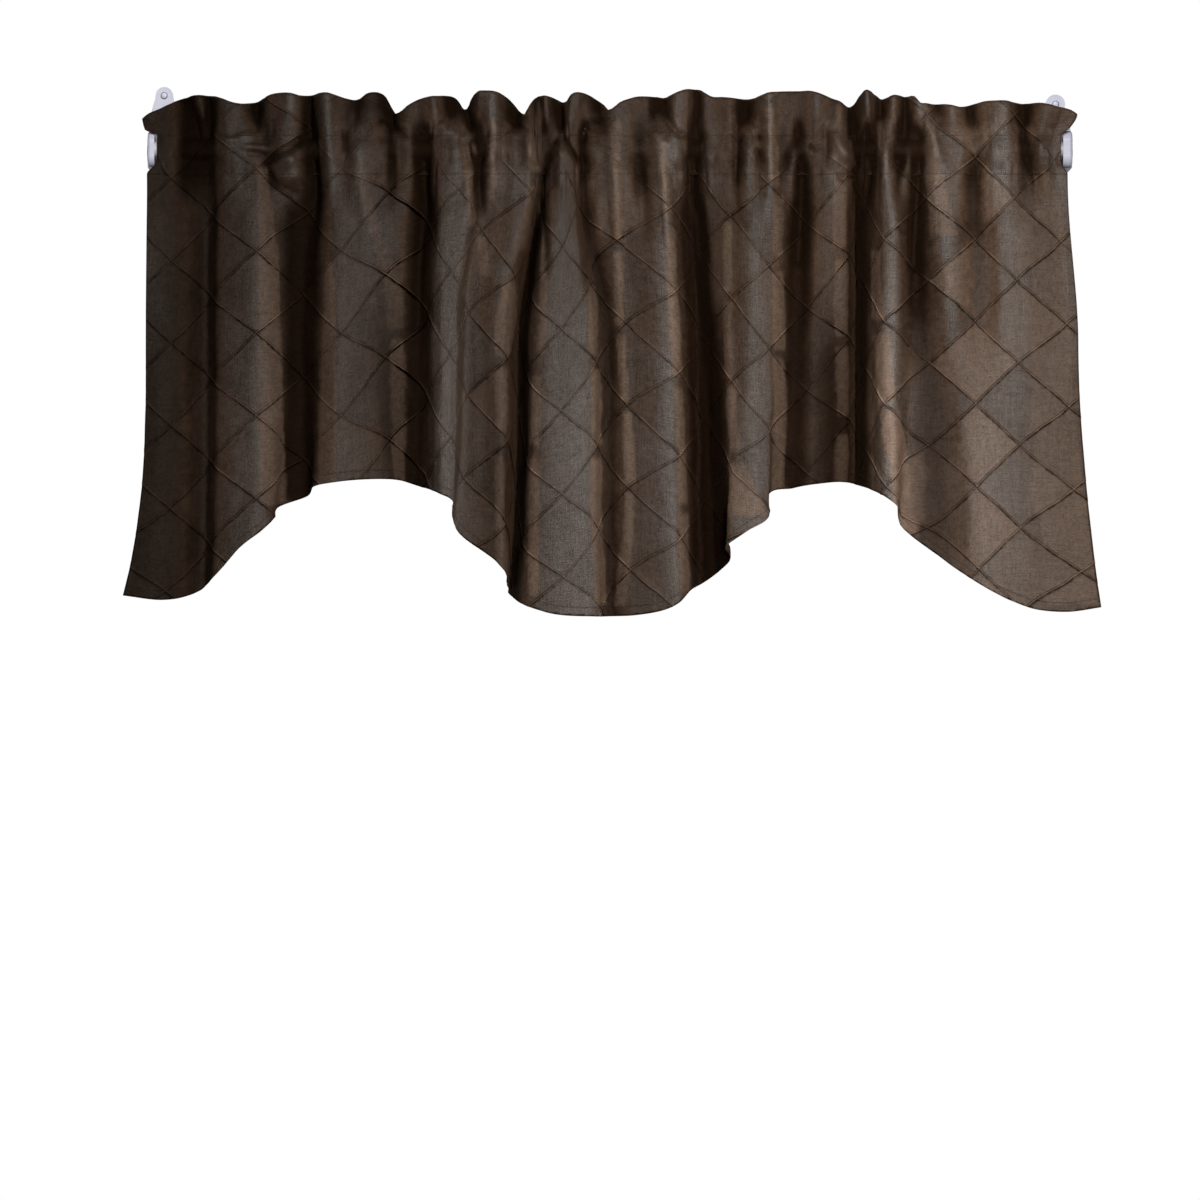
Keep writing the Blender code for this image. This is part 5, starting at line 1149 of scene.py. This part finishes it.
    # sewing: the pocket's two seams, and the hem's, as short stitches
    stitches = None
    for distance in (down, g.math("SUBTRACT", down, 42.0), g.math("SUBTRACT", up, HEM_TURN[-1] - 1.0)):
        line = g.fit(g.math("ABSOLUTE", distance), 0.25, 0.75, 1.0, 0.0)
        dash = g.fit(g.math("PINGPONG", x_mm, 1.5), 0.25, 0.55, 0.0, 1.0)
        sewn = g.math("MULTIPLY", line, dash)
        stitches = sewn if stitches is None else g.math("MAXIMUM", stitches, sewn)
    colour = g.blend(g.math("MULTIPLY", stitches, 0.14), tone.outputs["Color"], (0.022, 0.016, 0.012))

    # height of weave, slubs, tucks and stitches
    rib = g.math("MULTIPLY", g.math("SINE", g.math("MULTIPLY", y_mm, 2.0 * math.pi / 0.55)), 0.5)
    thread = g.math("MULTIPLY", g.math("SINE", g.math("MULTIPLY", x_mm, 2.0 * math.pi / 0.40)), 0.5)
    weave = g.math("MULTIPLY", g.math("ADD", rib, thread), 0.04)
    yarn = g.math("MULTIPLY", g.math("ADD", slub, warp), 0.30)
    soft = g.math("MULTIPLY", blotch, 0.5)
    tall = g.math("ADD", g.math("MULTIPLY", tuck, 1.5), g.math("MULTIPLY", stitches, -0.35))
    height = g.math("ADD", g.math("ADD", weave, yarn), g.math("ADD", soft, tall))
    normal = g.bump(height, MM, 1.0)
    rough = g.math("ADD", g.fit(blotch, 0.3, 0.7, TAFFETA_ROUGH - 0.05, TAFFETA_ROUGH + 0.07), g.math("MULTIPLY", cell, 0.05))
    material = g.finish(Base_Color=colour, Roughness=rough, Normal=normal)
    shader = g.shader
    shader.inputs["Specular IOR Level"].default_value = TAFFETA_SPECULAR
    # painted highlight in the reflections: the specular tint is lighter on the crests
    gloss = g.blend(g.fit(crest_highlight_fac, 0.0, 1.0, 0.0, 1.0, False), (0.55, 0.51, 0.48), TAFFETA_SPEC_TINT[:3])
    # painted highlight in the reflections: a copper tint along the sheen streaks
    gloss = g.blend(g.math("MULTIPLY", crisp, 0.7, clamp=True), gloss, (0.62, 0.49, 0.40))
    # the reflections vary at random with grain and blotch, and carry the tucks' painted shadow and highlight and the
    # stretches' painted shade
    uneven = g.math("ADD", g.fit(grain, 0.3, 0.7, -0.22, 0.10), g.fit(blotch, 0.3, 0.7, -0.16, 0.08))
    uneven = g.math("SUBTRACT", g.math("ADD", uneven, 1.0), g.math("MULTIPLY", shadow, 0.60))
    uneven = g.math("ADD", uneven, g.math("MULTIPLY", light, 0.25))
    uneven = g.math("MULTIPLY", uneven, g.math("SUBTRACT", 1.0, g.math("MULTIPLY", painted_dim, 1.6)))
    polish = g.add("ShaderNodeHueSaturation")
    g.plug(polish.inputs["Color"], gloss)
    g.plug(polish.inputs["Value"], uneven)
    gloss = polish.outputs["Color"]
    # painted shade in the reflections: the specular tint goes to near black in the troughs
    g.plug(shader.inputs["Specular Tint"], g.blend(g.math("MULTIPLY", pit_shade_fac, 0.95), gloss, (0.02, 0.012, 0.008)))
    shader.inputs["Sheen Weight"].default_value = TAFFETA_SHEEN
    shader.inputs["Sheen Roughness"].default_value = TAFFETA_SHEEN_ROUGH
    shader.inputs["Sheen Tint"].default_value = TAFFETA_SHEEN_TINT
    return material


# linear colours of the yarns, the painted crest highlight, flank sheen, streak highlight and trough shade, and how the
# cloth takes light
TAFFETA_DARK = (0.022, 0.0118, 0.0066)
TAFFETA_LIGHT = (0.032, 0.0180, 0.0105)
TAFFETA_CREST_HIGHLIGHT = (0.040, 0.0256, 0.0172)
TAFFETA_COPPER_TONE_AND_SHEEN = (0.072, 0.0385, 0.0215)
TAFFETA_STREAK_HIGHLIGHT = (0.092, 0.0585, 0.0405)
TAFFETA_TROUGH_SHADE = (0.0080, 0.0039, 0.0020)
TAFFETA_FLANK_SHEEN = 0.40
TAFFETA_TROUGH_SHADE_AMOUNT = 0.92
TAFFETA_ROUGH = 0.47
TAFFETA_SPECULAR = 0.62
TAFFETA_SPEC_TINT = (1.0, 0.98, 0.96, 1.0)
TAFFETA_SHEEN = 0.03
TAFFETA_SHEEN_ROUGH = 0.32
TAFFETA_SHEEN_TINT = (0.95, 0.52, 0.30, 1.0)


def object_mm(g):
    source = g.add("ShaderNodeTexCoord")
    scaled = g.add("ShaderNodeVectorMath", operation="SCALE")
    g.plug(scaled.inputs[0], source.outputs["Object"])
    scaled.inputs["Scale"].default_value = 1.0 / MM
    return scaled.outputs[0]


def moulded_plastic():
    g = Graph("moulded_plastic")
    at = object_mm(g)
    cloud, grain = g.noise(at, 0.06, 2.0), g.noise(at, 1.3, 2.0, 0.6)
    colour = g.blend(g.fit(cloud, 0.35, 0.65, 0.0, 1.0), (0.72, 0.72, 0.87), (0.80, 0.80, 0.93))
    colour = g.blend(g.fit(grain, 0.4, 0.62, 0.0, 0.12), colour, (0.66, 0.65, 0.76))
    normal = g.bump(grain, 0.08 * MM, 0.6)
    return g.finish(Base_Color=colour, Roughness=g.fit(grain, 0.3, 0.7, 0.34, 0.46), Normal=normal)


def enamel():
    g = Graph("white_enamel")
    at = object_mm(g)
    peel, wear = g.noise(at, 0.9, 2.0), g.noise(at, 0.12, 4.0, 0.65, 0.8)
    split = g.add("ShaderNodeSeparateXYZ")
    g.plug(split.inputs[0], at)
    scratch = g.noise(g.vector(g.math("MULTIPLY", split.outputs[0], 0.02), g.math("MULTIPLY", split.outputs[1], 2.2),
                               g.math("MULTIPLY", split.outputs[2], 2.2)), 1.0, 2.0, 0.7)
    colour = g.blend(g.fit(wear, 0.45, 0.7, 0.0, 0.35), (0.84, 0.83, 0.82), (0.72, 0.70, 0.67))
    colour = g.blend(g.fit(scratch, 0.62, 0.72, 0.0, 0.3), colour, (0.55, 0.54, 0.53))
    normal = g.bump(g.math("ADD", peel, g.math("MULTIPLY", scratch, 0.6)), 0.10 * MM, 0.7)
    return g.finish(Base_Color=colour, Roughness=g.fit(wear, 0.3, 0.7, 0.24, 0.36), Normal=normal)


def zinc():
    g = Graph("zinc_plate")
    at = object_mm(g)
    brushed, spots = g.noise(at, 3.0, 3.0, 0.7), g.noise(at, 0.8, 2.0)
    colour = g.blend(g.fit(spots, 0.4, 0.65, 0.0, 1.0), (0.62, 0.62, 0.68), (0.54, 0.54, 0.60))
    normal = g.bump(brushed, 0.05 * MM, 0.8)
    material = g.finish(Base_Color=colour, Roughness=g.fit(brushed, 0.3, 0.7, 0.48, 0.62), Normal=normal)
    g.shader.inputs["Metallic"].default_value = 0.55
    return material


def dress(obj, material):
    """Gives every material slot of a carried-over CAD node this material."""
    if not obj.material_slots:
        obj.data.materials.append(material)
    for slot in obj.material_slots:
        slot.material = material


cloth.data.materials.append(taffeta())
plastic, paint, steel = moulded_plastic(), enamel(), zinc()
for name, node in nodes.items():
    if name.startswith("bracket"):
        dress(node, plastic)
    elif name.startswith("screw"):
        dress(node, steel)
    elif name == "rod":
        dress(node, paint)

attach(cloth, "root")
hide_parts("valance_cloth")

# the cut cloth: the lattice is printed on it; each face's points are looked up in flat
# millimetres, and no area is summed or kept
flat_mm = np.array(lattice_uv) * (LATTICE_WIDE, LATTICE_HIGH)
for f in faces:
    p = flat_mm[list(f)]


# ------------------------------------------------------- floor, light, camera
def floor_material():
    g = Graph("pale_floor")
    at = object_mm(g)
    colour = g.blend(g.fit(g.noise(at, 0.004, 3.0), 0.35, 0.65, 0.0, 1.0), (0.80, 0.80, 0.79), (0.84, 0.84, 0.83))
    return g.finish(Base_Color=colour, Roughness=0.8)


floor_mesh = bpy.data.meshes.new("floor")
floor_mesh.from_pydata([(-6, -9, -2.3), (6, -9, -2.3), (6, 6, -2.3), (-6, 6, -2.3)], [], [(0, 1, 2, 3)])
floor = bpy.data.objects.new("floor", floor_mesh)
bpy.context.scene.collection.objects.link(floor)
floor_mesh.materials.append(floor_material())

world = bpy.data.worlds.new("studio")
bpy.context.scene.world = world
world.use_nodes = True
tree = world.node_tree
tree.nodes.clear()
ray = tree.nodes.new("ShaderNodeLightPath")
seen, lit = tree.nodes.new("ShaderNodeBackground"), tree.nodes.new("ShaderNodeBackground")
seen.inputs["Color"].default_value = (1.0, 1.0, 1.0, 1.0)
seen.inputs["Strength"].default_value = 1.0
lit.inputs["Color"].default_value = (0.93, 0.96, 1.0, 1.0)
lit.inputs["Strength"].default_value = 0.04
both, out = tree.nodes.new("ShaderNodeMixShader"), tree.nodes.new("ShaderNodeOutputWorld")
tree.links.new(ray.outputs["Is Camera Ray"], both.inputs[0])
tree.links.new(lit.outputs[0], both.inputs[1])
tree.links.new(seen.outputs[0], both.inputs[2])
tree.links.new(both.outputs[0], out.inputs["Surface"])


def area_light(name, place, target, size, watts, colour, spread=180.0, only=None):
    light = bpy.data.lights.new(name, "AREA")
    light.shape = "RECTANGLE"
    light.size, light.size_y = size
    light.energy = watts
    light.color = colour
    light.spread = math.radians(spread)
    obj = bpy.data.objects.new(name, light)
    bpy.context.scene.collection.objects.link(obj)
    obj.location = place
    obj.visible_camera = False
    if only is not None:
        obj.light_linking.receiver_collection = only
    obj.rotation_euler = (Vector(target) - Vector(place)).to_track_quat("-Z", "Y").to_euler()
    return obj


def group_of(name, members):
    group = bpy.data.collections.new(name)
    for member in members:
        group.objects.link(member)
    return group


soft_goods = group_of("lit cloth", [cloth])
hardware = group_of("lit hardware", [node for name, node in nodes.items() if name != "valance_cloth"])
area_light("key", (0.46, -2.0, -0.15), (0.42, -0.07, -0.2), (0.5, 1.6), 13.4, (0.98, 0.99, 0.985), 72.0, soft_goods)
area_light("strip_right", (2.3, -1.15, 0.0), (0.0, -0.07, -0.25), (0.25, 1.8), 5.0, (1.0, 0.92, 0.84), 180.0, soft_goods)
area_light("strip_left", (-2.3, -1.15, 0.0), (0.0, -0.07, -0.25), (0.25, 1.8), 3.2, (1.0, 0.92, 0.84), 180.0, soft_goods)
area_light("front", (0.0, -3.0, 0.8), (0.0, -0.07, -0.1), (1.6, 0.9), 70.0, (1.0, 1.0, 1.0), 180.0, hardware)
area_light("back_left", (-1.6, 2.2, -0.3), (-0.2, 0.0, -0.2), (1.2, 1.2), 9.0, (1.0, 1.0, 1.0), 180.0, hardware)
area_light("back_right", (1.8, 2.0, -0.3), (0.2, 0.0, -0.2), (1.2, 1.2), 9.0, (1.0, 1.0, 1.0), 180.0, hardware)
# from high up and without gloss, so that no glancing light reaches the front
back_cloth = area_light("back_cloth", (-0.8, 2.0, 2.2), (0.0, 0.0, -0.2), (1.4, 1.0), 170.0, (1.0, 0.98, 0.95), 180.0, soft_goods)
back_cloth.visible_glossy = False
# the floor takes its own light and throws none of it back on the cloth
area_light("overhead", (0.0, -1.5, 4.5), (0.0, -1.5, -2.3), (12.0, 14.0), 950.0, (1.0, 1.0, 1.0), 180.0,
           group_of("lit floor", [floor]))
floor.visible_diffuse = False
floor.visible_glossy = False

LENS = 200.0
camera_data = bpy.data.cameras.new("camera")
camera_data.lens = LENS
camera_data.sensor_width = 36.0
camera_data.sensor_fit = "HORIZONTAL"
camera = bpy.data.objects.new("camera", camera_data)
bpy.context.scene.collection.objects.link(camera)
camera.location = (-0.010, -0.076 - 1.2 * LENS / 36.0, -0.451)
camera.rotation_euler = (math.radians(90.0), 0.0, 0.0)
camera_data.clip_end = 100.0
bpy.context.scene.camera = camera

view = bpy.context.scene.view_settings
view.view_transform = "Standard"
view.look = "None"
view.exposure = 0.0
view.gamma = 1.0
